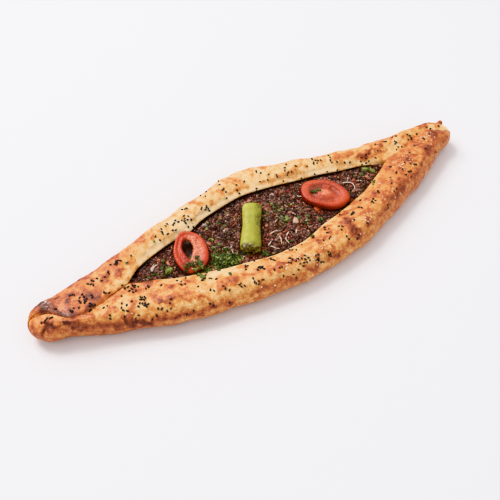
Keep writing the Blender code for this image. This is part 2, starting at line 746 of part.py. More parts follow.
def main():
    clear_scene()
    parts = bpy.data.collections.new("minced_meat_pide")
    bpy.context.scene.collection.children.link(parts)
    tomato = new_material("tomato", TOMATO_COLOUR, 0.35)
    make_crust(parts, new_material("crust", CRUST_COLOUR, 0.6))
    make_filling(parts, new_material("minced_meat", MEAT_COLOUR, 0.5))
    make_tomato_ring(parts, tomato)
    make_tomato_slice(parts, tomato)
    make_pepper(parts, new_material("green_pepper", PEPPER_COLOUR, 0.3))
    make_parsley(parts, new_material("parsley", PARSLEY_COLOUR, 0.6))
    pide = bpy.data.objects.new("pide", None)
    for piece in list(parts.objects):
        piece.parent = pide
    parts.objects.link(pide)


main()
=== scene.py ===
import math
import random

import bmesh
import bpy
from mathutils import Matrix, Vector, noise
from mathutils.bvhtree import BVHTree


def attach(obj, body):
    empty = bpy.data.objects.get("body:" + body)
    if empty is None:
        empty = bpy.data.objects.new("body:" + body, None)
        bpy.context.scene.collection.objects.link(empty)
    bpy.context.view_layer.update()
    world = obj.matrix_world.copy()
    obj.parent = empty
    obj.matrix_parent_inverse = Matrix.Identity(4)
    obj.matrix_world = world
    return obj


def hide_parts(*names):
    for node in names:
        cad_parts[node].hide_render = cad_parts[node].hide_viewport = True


# Minced meat pide, dressed around its CAD model. Metres, +X along the bread, +Z up,
# and the camera looks from the -Y side. Tables of places are in millimetres.
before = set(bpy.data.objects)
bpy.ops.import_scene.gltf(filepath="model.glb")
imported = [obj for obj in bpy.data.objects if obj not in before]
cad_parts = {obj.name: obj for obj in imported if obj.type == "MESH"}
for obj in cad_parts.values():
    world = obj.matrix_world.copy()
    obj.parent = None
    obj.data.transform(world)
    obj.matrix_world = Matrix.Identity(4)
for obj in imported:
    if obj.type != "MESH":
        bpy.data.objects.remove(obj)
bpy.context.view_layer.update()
mm = 0.001


# small maths
def mix(a, b, share):
    return a + (b - a) * share


def mixPoints(p, q, share):
    return (mix(p[0], q[0], share), mix(p[1], q[1], share))


def clamped(x):
    return min(1, max(0, x))


def ease(low, high, x):  # 0 below low, 1 above high, smooth between; low may be above high
    share = clamped((x - low) / (high - low))
    return share * share * (3 - 2 * share)


def bell(x, centre, width):
    return math.exp(-((x - centre) / width) ** 2)


def along(stations, x):  # smooth value at x through (x, value) stations, without overshoot
    xs = [s[0] for s in stations]
    if x <= xs[0]:
        return stations[0][1]
    if x >= xs[-1]:
        return stations[-1][1]
    i = max(k for k in range(len(xs) - 1) if xs[k] <= x)

    def rise(k):
        return (stations[k + 1][1] - stations[k][1]) / (xs[k + 1] - xs[k])

    def slope(k):
        if k == 0:
            return rise(0)
        if k == len(xs) - 1:
            return rise(k - 1)
        before, after = rise(k - 1), rise(k)
        return 0 if before * after <= 0 else 2 * before * after / (before + after)

    step = xs[i + 1] - xs[i]
    t = (x - xs[i]) / step
    return ((2 * t**3 - 3 * t**2 + 1) * stations[i][1] + (t**3 - 2 * t**2 + t) * step * slope(i)
            + (3 * t**2 - 2 * t**3) * stations[i + 1][1] + (t**3 - t**2) * step * slope(i + 1))


def wobble(p, size, seed):  # noise of that feature size, about -1 to 1
    return noise.noise(Vector((p[0] / size + 17.3 * seed, p[1] / size + 5.1 * seed,
                               p[2] / size - 9.7 * seed)))


def lumps(x, y, rows):  # the sum of flat noises, from rows of (strength, size, seed)
    return sum(strength * wobble((x, y, 0), size, seed) for strength, size, seed in rows)


def anyVector(draw, low, high, parts=3):
    return Vector([draw.uniform(low, high) for _ in range(parts)])


def anyTurn(draw):  # in radians
    return draw.uniform(0, 6.3)


# mesh helpers
batchSize = 100
rayStart = 0.1  # above everything


def wrapGrid(bm, rows, columns, place):  # a grid bent round a closed section; its last column meets its first
    made = bmesh.ops.create_grid(bm, x_segments=rows - 1, y_segments=columns, size=1)["verts"]
    for v in made:
        i = round((v.co.x + 1) / 2 * (rows - 1))
        j = round((v.co.y + 1) / 2 * columns) % columns
        v.co = place(i, j, v)
    bmesh.ops.remove_doubles(bm, verts=made, dist=1e-7)


def toneLayer(bm):
    return bm.verts.layers.float_color.new("tone")


def inBatches(bm, jobs, addOne):  # operators slow down as a mesh grows, so small shapes are made in batches
    for start in range(0, len(jobs), batchSize):
        batch = bmesh.new()
        tone = toneLayer(batch)
        for job in jobs[start:start + batchSize]:
            addOne(batch, tone, *job)
        mesh = bpy.data.meshes.new("batch")
        batch.to_mesh(mesh)
        batch.free()
        bm.from_mesh(mesh)
        bpy.data.meshes.remove(mesh)


def facing(normal, turn):  # stands Z on the normal, turned about it
    return normal.to_track_quat("Z", "Y").to_matrix().to_4x4() @ Matrix.Rotation(turn, 4, "Z")


def surfaceTree(*pieces):
    trees = []
    for piece in pieces:
        bm = bmesh.new()
        bm.from_mesh(piece.data)
        trees.append(BVHTree.FromBMesh(bm))
        bm.free()
    return trees


def surfaceAt(trees, x, y):  # highest surface at (x, y), as (point, normal)
    hits = [tree.ray_cast(Vector((x, y, rayStart)), Vector((0, 0, -1)))[:2] for tree in trees]
    hits = [hit for hit in hits if hit[0] is not None]
    return max(hits, key=lambda hit: hit[0].z) if hits else None


def finishPiece(name, bm, material, slot, *nodes):
    bmesh.ops.recalc_face_normals(bm, faces=bm.faces)
    mesh = bpy.data.meshes.new(name)
    bm.to_mesh(mesh)
    bm.free()
    mesh.shade_smooth()
    mesh.materials.append(material)
    piece = bpy.data.objects.new(name, mesh)
    bpy.context.scene.collection.objects.link(piece)
    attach(piece, "root")
    if nodes:
        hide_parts(*nodes)
    print(name, sum(len(face.vertices) - 2 for face in mesh.polygons), "triangles")
    return piece


def scatterPiece(name, jobs, addOne, material, slot):  # a piece of many small shapes, one for each job
    bm = bmesh.new()
    toneLayer(bm)
    inBatches(bm, jobs, addOne)
    return finishPiece(name, bm, material, slot)


# material helpers
def newMaterial(name, roughness, specular=0.4, coat=0.0, coatRoughness=0.3):
    made = bpy.data.materials.new(name)
    made.use_nodes = True
    shader = made.node_tree.nodes["Principled BSDF"]
    shader.inputs["Roughness"].default_value = roughness
    shader.inputs["Specular IOR Level"].default_value = specular
    shader.inputs["Coat Weight"].default_value = coat
    shader.inputs["Coat Roughness"].default_value = coatRoughness
    return made, made.node_tree, shader


def plug(tree, value, socket):  # a link from a socket, or a plain value
    if isinstance(value, bpy.types.NodeSocket):
        tree.links.new(value, socket)
    else:
        socket.default_value = value


def speckle(tree, size, detail=3, roughness=0.55):  # noise of that size in metres
    coords = tree.nodes.new("ShaderNodeTexCoord")
    texture = tree.nodes.new("ShaderNodeTexNoise")
    texture.inputs["Scale"].default_value = 1 / size
    texture.inputs["Detail"].default_value = detail
    texture.inputs["Roughness"].default_value = roughness
    tree.links.new(coords.outputs["Object"], texture.inputs["Vector"])
    return texture.outputs["Fac"]


def sums(tree, operation, a, b, clamp=False):
    node = tree.nodes.new("ShaderNodeMath")
    node.operation = operation
    node.use_clamp = clamp
    plug(tree, a, node.inputs[0])
    plug(tree, b, node.inputs[1])
    return node.outputs[0]


def spread(tree, value, low, high, to=(0.0, 1.0)):  # value from low..high to the range given, clamped
    node = tree.nodes.new("ShaderNodeMapRange")
    for name, number in zip(("From Min", "From Max", "To Min", "To Max"), (low, high, *to)):
        node.inputs[name].default_value = number
    tree.links.new(value, node.inputs["Value"])
    return node.outputs["Result"]


def mottled(tree, level, grain, reach, low=0.3, high=0.7):  # the level, moved up or down by the grain
    return sums(tree, "ADD", level, spread(tree, grain, low, high, (-reach, reach)), clamp=True)


def colourRamp(tree, value, stops):
    node = tree.nodes.new("ShaderNodeValToRGB")
    points = node.color_ramp.elements
    while len(points) < len(stops):
        points.new(0.5)
    for point, (position, colour) in zip(points, stops):
        point.position = position
        point.color = (*colour, 1)
    tree.links.new(value, node.inputs["Fac"])
    return node.outputs["Color"]


def blendColour(tree, share, a, b, mode="MIX"):
    node = tree.nodes.new("ShaderNodeMix")
    node.data_type = "RGBA"
    node.blend_type = mode
    plug(tree, share, node.inputs[0])
    plug(tree, (*a, 1) if isinstance(a, tuple) else a, node.inputs[6])
    plug(tree, (*b, 1) if isinstance(b, tuple) else b, node.inputs[7])
    return node.outputs[2]


def toneColour(tree):  # the piece's own tone attribute
    attribute = tree.nodes.new("ShaderNodeAttribute")
    attribute.attribute_name = "tone"
    return attribute.outputs["Color"]


def toneParts(tree):  # its three channels
    split = tree.nodes.new("ShaderNodeSeparateColor")
    tree.links.new(toneColour(tree), split.inputs["Color"])
    return split.outputs["Red"], split.outputs["Green"], split.outputs["Blue"]


def addBump(tree, shader, height, distance, strength=1.0):
    node = tree.nodes.new("ShaderNodeBump")
    node.inputs["Strength"].default_value = strength
    node.inputs["Distance"].default_value = distance
    tree.links.new(height, node.inputs["Height"])
    tree.links.new(node.outputs["Normal"], shader.inputs["Normal"])


# the dough's shape, as in the CAD source
dough = {
    "length": 0.478, "capStart": 0.214, "tipY": 0.0093, "tipZ": 0.0120, "tipLift": 0.0032, "liftStart": 0.190,
    "crest": 0.0265, "crestAtEnds": 0.0250, "crestFade": (0.10, 0.19), "base": 0.0048,
    "shoulder": 0.018, "shoulderShare": 0.48, "fullWidth": 0.080,
    "ripple": 0.0008, "rippleWaves": ((0.6, 0.0153, 1.0), (0.4, 0.0067, 2.3)),  # share, length, phase's pace
    "lip": (0.0185, 0.0028), "overLip": (0.0216, 0.0022), "underLip": (0.0172, 0.0012),  # height, radius
    "tuck": 0.0025, "tuckRun": 0.012, "lipRun": 0.035, "openingRun": 0.020,
    "slotDepth": 0.0040, "slotRadius": 0.00045, "slotTurn": 80,
    "leftCorner": -0.149, "rightCorner": 0.146,
    "nearEdge": ((-0.214, -0.0108), (-0.170, -0.0328), (-0.110, -0.0558), (-0.050, -0.0685), (0.008, -0.0736),
                 (0.050, -0.0698), (0.110, -0.0534), (0.165, -0.0331), (0.214, -0.0100)),
    "farEdge": ((-0.214, 0.0255), (-0.170, 0.0355), (-0.110, 0.0507), (-0.050, 0.0639), (0.004, 0.0736),
                (0.050, 0.0605), (0.110, 0.0421), (0.165, 0.0330), (0.214, 0.0262)),
    "nearLip": ((-0.149, 0.002), (-0.130, -0.0032), (-0.110, -0.0132), (-0.090, -0.0210), (-0.050, -0.0322),
                (0.000, -0.0410), (0.050, -0.0305), (0.090, -0.0227), (0.125, -0.0090), (0.146, 0.002)),
    "farLip": ((-0.149, 0.002), (-0.132, 0.0140), (-0.112, 0.0219), (-0.092, 0.0258), (-0.075, 0.0276),
               (-0.056, 0.0340), (-0.004, 0.0412), (0.050, 0.0297), (0.090, 0.0198), (0.120, 0.0112),
               (0.146, 0.002)),
    "leftSeam": ((-0.239, 0.0190), (-0.228, 0.0130), (-0.220, 0.0085), (-0.213, 0.0000), (-0.205, -0.0088),
                 (-0.190, -0.0086), (-0.168, -0.0024), (-0.149, 0.002)),
    "rightSeam": ((0.146, 0.002), (0.169, 0.0048), (0.188, 0.0099), (0.206, 0.0145), (0.216, 0.0120),
                  (0.225, 0.0030), (0.239, 0.0000)),
    "nubPlace": (234.0, 16.4, 19.4), "nubSize": (4.4, 3.2, 3.4),  # nub of dough at the right tip
    "bodyRings": 500, "capRings": 40,
    # mesh steps between control points, from the foot to the middle of the hollow
    "spanSteps": (4, 4, 5, 6, 8, 8, 10, 10, 4, 4, 5, 4, 3, 3),
}


def ripple(x, phase):
    return dough["ripple"] * sum(share * math.sin(x / length + pace * phase)
                                 for share, length, pace in dough["rippleWaves"])


def insideCorners(x, run):
    return (ease(dough["leftCorner"], dough["leftCorner"] + run, x)
            * ease(dough["rightCorner"], dough["rightCorner"] - run, x))


def lips(x):  # (y, z, radius) of the near lip, and of the far one
    inside = insideCorners(x, dough["lipRun"])
    over = mixPoints(dough["overLip"], dough["lip"], inside)
    under = mixPoints(dough["underLip"], dough["lip"], inside)
    if x < dough["leftCorner"]:
        nearY = farY = along(dough["leftSeam"], x)
    elif x > dough["rightCorner"]:
        nearY = farY = along(dough["rightSeam"], x)
    else:
        nearY = along(dough["nearLip"], x) + ripple(x, 1.0) * inside
        farY = along(dough["farLip"], x) + ripple(x, 4.0) * inside
    tuck = dough["tuck"] * (1 - insideCorners(x, dough["tuckRun"]))
    if x < 0:
        return (nearY + tuck, *under), (farY, *over)
    return (nearY, *over), (farY - tuck, *under)


def flap(edge, lip, crest, fullness, inward):  # one side of the section: its outside, then the wall inside
    y, z, radius = lip
    rise = min(dough["shoulder"], dough["shoulderShare"] * abs(y - edge))

    def at(inset, height):
        return (edge + inward * inset, height)

    outside = [at(0.0120 * fullness, 0), at(0.0036 * fullness, 0.0038), at(0, 0.0110),
               at(0.0028 * fullness, 0.0188), at(0.50 * rise, crest - 0.0016), at(rise, crest),
               (mix(edge + inward * rise, y, 0.55), mix(crest, z + radius, 0.50)),
               (y - inward * 1.3 * radius, z + radius), (y, z)]
    wall = [(y - inward * 1.3 * radius, z - radius), (mix(edge, y, 0.50), 0.0157),
            at(0.0095 * fullness, 0.0108), at(0.0150 * fullness, dough["base"] + 0.0006)]
    return outside, wall


def contour(x):  # the section's 28 control points (y, z), from under the middle round the near side
    bodyX = min(dough["capStart"], max(-dough["capStart"], x))
    nearEdge = along(dough["nearEdge"], bodyX) + ripple(x, 0.0)
    farEdge = along(dough["farEdge"], bodyX) + ripple(x, 2.0)
    crest = mix(dough["crest"], dough["crestAtEnds"], ease(*dough["crestFade"], abs(x)))
    fullness = min(1, (farEdge - nearEdge) / dough["fullWidth"])
    nearLip, farLip = lips(x)
    nearOut, nearWall = flap(nearEdge, nearLip, crest + ripple(x, 3.0), fullness, 1)
    farOut, farWall = flap(farEdge, farLip, crest + ripple(x, 5.0), fullness, -1)
    middle = (nearEdge + farEdge) / 2
    inner = nearWall + [(middle, dough["base"])] + farWall[::-1]
    side = 1 if x < 0 else -1
    over, under = (farLip, nearLip) if x < 0 else (nearLip, farLip)
    slotZ = (over[1] - over[2] + under[1] + under[2]) / 2
    slotY = over[0] + side * dough["slotDepth"]
    shown = insideCorners(x, dough["openingRun"])
    for i, point in enumerate(inner):  # the hollow closes to a thin slot past the corners
        angle = math.radians(mix(-dough["slotTurn"], dough["slotTurn"], i / (len(inner) - 1)))
        end = (slotY + side * dough["slotRadius"] * math.cos(angle),
               slotZ + side * dough["slotRadius"] * math.sin(angle))
        inner[i] = mixPoints(end, point, shown)
    points = [(middle, 0)] + nearOut + inner + farOut[::-1]
    lift = dough["tipLift"] * ease(dough["liftStart"], dough["capStart"], abs(x))
    past = max(0, abs(x) - dough["capStart"]) / (dough["length"] / 2 - dough["capStart"])
    share = math.sqrt(max(0, 1 - past * past))
    return [(mix(dough["tipY"], y, share), mix(dough["tipZ"], z + lift * (1 - z / dough["crest"]), share))
            for y, z in points]


def splinePoint(points, i, t):  # closed centripetal curve between points i and i + 1
    p = [Vector(points[(i + k) % len(points)]) for k in (-1, 0, 1, 2)]
    knots = [0]
    for a, b in zip(p, p[1:]):
        knots.append(knots[-1] + max(1e-6, (b - a).length) ** 0.5)
    u = mix(knots[1], knots[2], t)
    first = [p[k].lerp(p[k + 1], (u - knots[k]) / (knots[k + 1] - knots[k])) for k in range(3)]
    second = [first[k].lerp(first[k + 1], (u - knots[k]) / (knots[k + 2] - knots[k])) for k in range(2)]
    return second[0].lerp(second[1], (u - knots[1]) / (knots[2] - knots[1]))


# baked crust
crustLook = {
    # browning round the near side's shoulder: x, strength
    "nearBand": (
        (-232, 0.0), (-214, 0.14), (-204, 0.32), (-180, 0.42), (-150, 0.46), (-132, 0.42),
        (-112, 0.32), (-95, 0.44), (-73, 0.16), (-55, 0.36), (-30, 0.26), (-5, 0.2), (40, 0.16),
        (90, 0.2), (150, 0.18), (190, 0.22), (225, 0.1),
    ),
    # where that band lies along the section, and how brown it is below the band: x, value
    "bandAt": (
        (-170, 21.5), (-90, 25.0), (30, 26.0), (110, 31.0),
    ),
    "footBrown": (
        (-150, 0.66), (-60, 0.56), (60, 0.55), (120, 0.62),
    ),
    # browning of each side: x, strength
    "nearBase": (
        (-230, 0.27), (-190, 0.17), (-140, 0.11), (-80, 0.06), (0, 0.09), (60, 0.15), (130, 0.25),
        (190, 0.29), (230, 0.27),
    ),
    "farBase": (
        (-230, 0.28), (-180, 0.24), (-120, 0.15), (-70, -0.01), (60, -0.05), (110, 0.01), (150, 0.06),
        (230, 0.06),
    ),
    # scorched or pale places: x, distance along the section from the foot up, two radii, strength
    "nearPatches": (
        (57, 51, 3.5, 6, 0.5), (52, 38, 6, 8, 0.55), (103, 50, 4, 6, 0.3), (104, 40, 6, 6, 0.24),
        (91, 50, 3, 3, 0.3), (18, 56, 3, 5, 0.4), (4, 54, 4, 4, 0.25), (24, 50, 11, 5, 0.26),
        (33, 57, 2.5, 4, 0.35), (-34, 56, 2.5, 5, 0.45), (-8, 56, 3, 4, 0.25),
        (-104, 60, 2.5, 7, 0.35), (-109, 54, 4, 3, 0.35), (-127, 70, 6, 4, 0.4),
        (-148, 62, 4, 8, 0.35), (-134, 40, 3, 3, 0.45), (-125, 42, 9, 3, 0.22), (-66, 44, 6, 5, 0.22),
        (-122, 52, 9, 6, 0.18), (-78, 58, 16, 7, -0.24), (-70, 50, 8, 6, -0.22),
        (-160, 52, 8, 12, -0.1), (24, 40, 9, 4, -0.22), (116, 62, 10, 6, -0.1), (80, 57, 12, 6, -0.08),
        (128, 33, 8, 5, 0.32), (142, 40, 5, 5, 0.2), (120, 52, 5, 4, 0.25), (165, 48, 12, 7, 0.14),
        (196, 38, 12, 7, 0.08), (235, 28, 5, 14, -0.3), (216, 30, 10, 10, 0.22),
        (180, 30, 12, 8, -0.12), (-75, 40, 14, 6, 0.14), (-20, 42, 10, 6, 0.16), (75, 44, 6, 4, 0.22),
        (62, 60, 5, 4, 0.2), (-200, 35, 4, 6, 0.4), (-208, 27, 10, 4, 0.2), (-214, 36, 7, 8, -0.24),
        (-185, 42, 9, 6, -0.14), (-165, 46, 10, 7, -0.08),
    ),
    # the same for the far side, from its lip outwards
    "farPatches": (
        (36, 30, 8, 5, 0.16), (-48, 34, 12, 5, 0.18), (92, 24, 7, 5, 0.18), (-100, 30, 10, 6, 0.12),
        (226, 8, 8, 7, -0.4), (236, 6, 5, 6, -0.3), (-222, 5, 8, 6, 0.42), (-207, 6, 9, 3.5, 0.42),
        (-190, 3, 10, 2.5, 0.42), (-214, 16, 5, 12, 0.4), (-200, 20, 9, 9, 0.2),
        (-186, 44, 12, 12, 0.2), (-172, 3, 6, 2, 0.3), (-184, 12, 14, 8, 0.1), (-150, 21, 6, 8, 0.2),
        (-120, 5, 28, 6, -0.24), (-160, 4, 16, 4, -0.18), (-80, 16, 22, 9, -0.14),
        (-64, 8, 20, 8, -0.12), (15, 10, 22, 8, -0.08), (-97, 8, 12, 8, -0.18), (66, 12, 3, 2.5, 0.28),
        (104, 15, 5, 3.5, 0.22), (128, 10, 10, 6, 0.32), (142, 11, 5, 5, 0.35), (150, 20, 10, 7, 0.24),
        (163, 6, 7, 5, -0.12), (178, 7, 5, 3, 0.32), (190, 7, 7, 4, 0.35), (205, 6, 6, 5, 0.15),
        (170, 13, 7, 4, -0.14), (218, 15, 16, 4, 0.36),
    ),
    # floury places
    "nearFlour": (
        (231, 30, 5, 8, 0.45), (222, 36, 3, 4, 0.5), (-196, 33, 3, 3, 0.45), (-216, 31, 4, 3, 0.3),
    ),
    "farFlour": (
        (-217, 12, 4, 6, 0.8), (-207, 10, 3, 8, 0.55),
    ),
    # creases: from x, y to x, y, width, depth
    "creases": (
        (-224.9, -1.7, -232.7, -5.6, 1.5, 2.0), (-224.9, -1.7, -227.6, -9.8, 1.2, 1.4),
        (-224.9, -1.7, -219.1, -7.8, 1.2, 1.3), (-224.9, -1.7, -219.9, 3.3, 1.0, 0.9),
        (-224.9, -1.7, -228.0, 5.0, 1.0, 1.0), (-176, -6, -163, -8, 0.9, 0.5),
        (-184, -10, -168, -17, 1.0, 0.5), (-60, 40, -48, 50, 1.4, 0.4), (134, 16, 152, 30, 1.3, 0.6),
        (160, 14, 174, 25, 1.1, 0.6), (172, 12, 186, 20, 1.1, 0.6), (140, -10, 170, -14, 1.5, 0.5),
        (206, 4, 222, 9, 1.3, 0.6), (215, -6, 232, 4, 1.3, 0.6), (110, -36, 124, -30, 1.4, 0.5),
        (30, -60, 44, -56, 1.4, 0.5),
    ),
    # the band's width, where the foot's browning starts below it, the amounts of each browning and of painted
    # shade and light
    "bandWide": 4.2, "belowBand": (2, 7), "footShare": 0.75, "evenBrown": 0.52, "evenShare": 0.42,
    "start": 0.26, "spots": 0.26, "freckles": 0.15, "grain": 0.12, "wander": 2.6,
    # innerTone darkens the hollow's inner wall: partly juice stain, partly painted shade
    # the creases' darkening is painted shade
    # the lips' paleness is partly the dough's own pale edge, partly painted light on the shaded lip
    "creaseShade": 0.45, "lipPaleAndPaintedLight": 0.22, "farFootBrown": 0.20, "innerTone": 0.93, "underTone": 0.50,
    # relief in millimetres; the swelling's height, distance from the lip and width
    "undulation": 0.75, "blisters": 0.75, "blisterStart": 0.12, "wrinkles": 0.22, "bakedLift": 0.5,
    "swelling": (2.2, 4.5, 3.5),
}


nearFootMark, nearLipMark, farLipMark = 1, 9, 19  # control points of the section
patchReach = 2.4  # in radii, past which a patch no longer shows
creaseReach = 32  # longer than any crease, in millimetres


def patchSum(rows, x, s):  # x and s in millimetres
    total = 0
    for px, ps, rx, rs, strength in rows:
        if abs(x - px) < patchReach * rx:
            total += strength * math.exp(-((x - px) / rx) ** 2 - ((s - ps) / rs) ** 2)
    return total


def creaseDepth(point):
    place, depth = point.xy * 1000, 0
    for x0, y0, x1, y1, width, deep in crustLook["creases"]:
        if abs(place.x - x0) > creaseReach:
            continue
        a, b = Vector((x0, y0)), Vector((x1, y1))
        t = clamped((place - a).dot(b - a) / (b - a).length_squared)
        depth = max(depth, deep * (1 - 0.6 * t) * bell((place - a.lerp(b, t)).length, 0, width))
    return depth * ease(0.010, 0.016, point.z)


def doughMarks(x):  # one section's mesh points: point, side, place along that side, distance from its lip
    points = contour(x)
    steps = dough["spanSteps"] + dough["spanSteps"][::-1]
    section = []
    for i, count in enumerate(steps):
        for k in range(count):
            y, z = splinePoint(points, i, k / count)
            section.append((Vector((x, y, max(0, z))), i + k / count))
    reach = [0]
    for a, b in zip(section, section[1:]):
        reach.append(reach[-1] + (b[0] - a[0]).length)
    foot, nearLip, farLip = (reach[sum(steps[:i])] for i in (nearFootMark, nearLipMark, farLipMark))
    marks = []
    for (point, mark), travelled in zip(section, reach):
        if nearFootMark <= mark <= nearLipMark:
            marks.append((point, "near", 1000 * (travelled - foot), 1000 * (nearLip - travelled)))
        elif mark >= farLipMark:
            marks.append((point, "far", 1000 * (travelled - farLip), 1000 * (travelled - farLip)))
        else:
            marks.append((point, "under" if mark < nearFootMark else "inner", 0, 0))
    return marks


def crustTone(point, side, s, fromLip):  # browning and flour
    look = crustLook
    # the hollow's inner wall is painted dark: partly juice stain, partly painted shade
    if side in ("inner", "under"):
        return look[side + "Tone"], 0
    x = 1000 * point.x
    wander = Vector((wobble(point, 0.011, 1), wobble(point, 0.011, 2))) * look["wander"]
    sx, ss = x + wander.x, s + wander.y
    baked = wobble(point, 0.012, 3) + 0.6 * wobble(point, 0.005, 4)  # patches with a fairly clear edge
    brown = look["start"] + look["spots"] * ease(0.02, 0.26, baked)
    brown += look["freckles"] * wobble(point, 0.0065, 10)
    brown += look["grain"] * wobble(point, 0.0028, 5)
    brown += along(look[side + "Base"], x)
    # the creases are painted darker: painted shade
    brown += look["creaseShade"] * creaseDepth(point)
    # the lips are painted paler: partly the dough's pale edge, partly painted light
    brown -= look["lipPaleAndPaintedLight"] * ease(9, 0, fromLip) * insideCorners(point.x, 0.03)
    brown += patchSum(look[side + "Patches"], sx, ss)
    if side == "near":
        brown = mix(brown, look["evenBrown"], look["evenShare"] * ease(60, 125, x))  # evener at the right end
        bandAt = along(look["bandAt"], x)
        belowBand = ease(bandAt - look["belowBand"][0], bandAt - look["belowBand"][1], s)
        brown = mix(brown, along(look["footBrown"], x), look["footShare"] * belowBand)
        brown += along(look["nearBand"], x) * bell(ss, bandAt, look["bandWide"])
    else:
        brown += look["farFootBrown"] * ease(0.020, 0.010, point.z)
    return clamped(brown), min(1, patchSum(look[side + "Flour"], sx, ss))


def crustRelief(point, side, s, fromLip, brown):  # millimetres along the normal
    if side == "inner":
        return 0
    look, end = crustLook, dough["length"] / 2
    aboveFoot = ease(0, 0.004, point.z)
    outer = aboveFoot * ease(end, end - 0.013, abs(point.x))
    edge = ease(0, 3, fromLip)
    blister = max(0, wobble(point, 0.0085, 6) - look["blisterStart"])
    height = look["undulation"] * wobble(point, 0.024, 7) * edge + look["blisters"] * 2 * blister * edge
    height += look["wrinkles"] * (wobble(point, 0.0032, 8) + 0.6 * wobble(point, 0.0016, 9))
    height += look["bakedLift"] * ease(0.45, 0.95, brown) * edge
    swelling = 0
    if side == ("near" if point.x < 0 else "far"):  # the tucked flap swells up to the other's edge
        high, away, wide = look["swelling"]
        swelling = high * (1 - insideCorners(point.x, 0.02)) * bell(fromLip, away, wide) * aboveFoot
    return (height - creaseDepth(point)) * outer + swelling * ease(end, end - 0.005, abs(point.x))


def crustMaterial():
    made, tree, shader = newMaterial("bakedCrust", 0.5, specular=0.35, coat=0.10, coatRoughness=0.35)
    brown, flour, _ = toneParts(tree)
    medium, fine = speckle(tree, 0.0045, 4), speckle(tree, 0.0011, 3)
    value = sums(tree, "ADD", brown, spread(tree, medium, 0.25, 0.75, (-0.20, 0.20)))
    value = sums(tree, "ADD", value, spread(tree, fine, 0.30, 0.70, (-0.15, 0.15)))
    colour = colourRamp(tree, value, (
        (0.00, (0.93, 0.70, 0.43)), (0.18, (0.90, 0.60, 0.30)), (0.34, (0.80, 0.455, 0.170)),
        (0.50, (0.70, 0.295, 0.082)), (0.64, (0.57, 0.168, 0.056)), (0.78, (0.41, 0.100, 0.043)),
        (0.90, (0.27, 0.066, 0.025)), (1.00, (0.12, 0.030, 0.016))))
    dust = sums(tree, "MULTIPLY", flour, spread(tree, speckle(tree, 0.0022, 4, roughness=0.75), 0.53, 0.58))
    colour = blendColour(tree, dust, colour, (0.86, 0.70, 0.58))
    tree.links.new(colour, shader.inputs["Base Color"])
    tree.links.new(spread(tree, medium, 0.3, 0.7, (0.42, 0.60)), shader.inputs["Roughness"])
    addBump(tree, shader, sums(tree, "ADD", fine, sums(tree, "MULTIPLY", medium, 0.8)), 0.0006, 0.55)
    return made


def makeCrust():
    reach = dough["length"] / 2 - dough["capStart"]
    turns = [math.radians(90 * (k + 1) / dough["capRings"]) for k in range(dough["capRings"])]
    cap = [dough["capStart"] + reach * math.sin(turn) for turn in turns]
    body = [mix(-dough["capStart"], dough["capStart"], k / dough["bodyRings"])
            for k in range(dough["bodyRings"] + 1)]
    places = [-x for x in reversed(cap)] + body + cap
    rings = [doughMarks(x) for x in places]
    rows, columns = len(rings), len(rings[0])
    bm = bmesh.new()
    tone = toneLayer(bm)

    def place(i, j, vert):
        point, side, s, fromLip = rings[i][j]
        before, after = rings[max(0, i - 1)][j][0], rings[min(rows - 1, i + 1)][j][0]
        around = rings[i][(j + 1) % columns][0] - rings[i][j - 1][0]
        normal = (after - before).cross(around).normalized()
        look = crustTone(point, side, s, fromLip)
        vert[tone] = (*look, 0, 1)
        if 0 < i < rows - 1:
            point = point + normal * mm * crustRelief(point, side, s, fromLip, look[0])
        return Vector((point.x, point.y, max(0, point.z)))

    wrapGrid(bm, rows, columns, place)
    long, wide, high = dough["nubSize"]
    for v in bmesh.ops.create_icosphere(bm, subdivisions=3, radius=1)["verts"]:
        p = v.co.copy()
        swollen = Vector((long * p.x, wide * p.y, high * p.z)) * (1 + 0.25 * wobble(p, 0.8, 2))
        v.co = (Vector(dough["nubPlace"]) + swollen) * mm
        v[tone] = (0.68 + 0.1 * p.z, 0, 0, 1)
    return finishPiece("crustDough", bm, crustMaterial(), "baked_dough", "crust")


crust = makeCrust()
crustTrees = surfaceTree(crust)

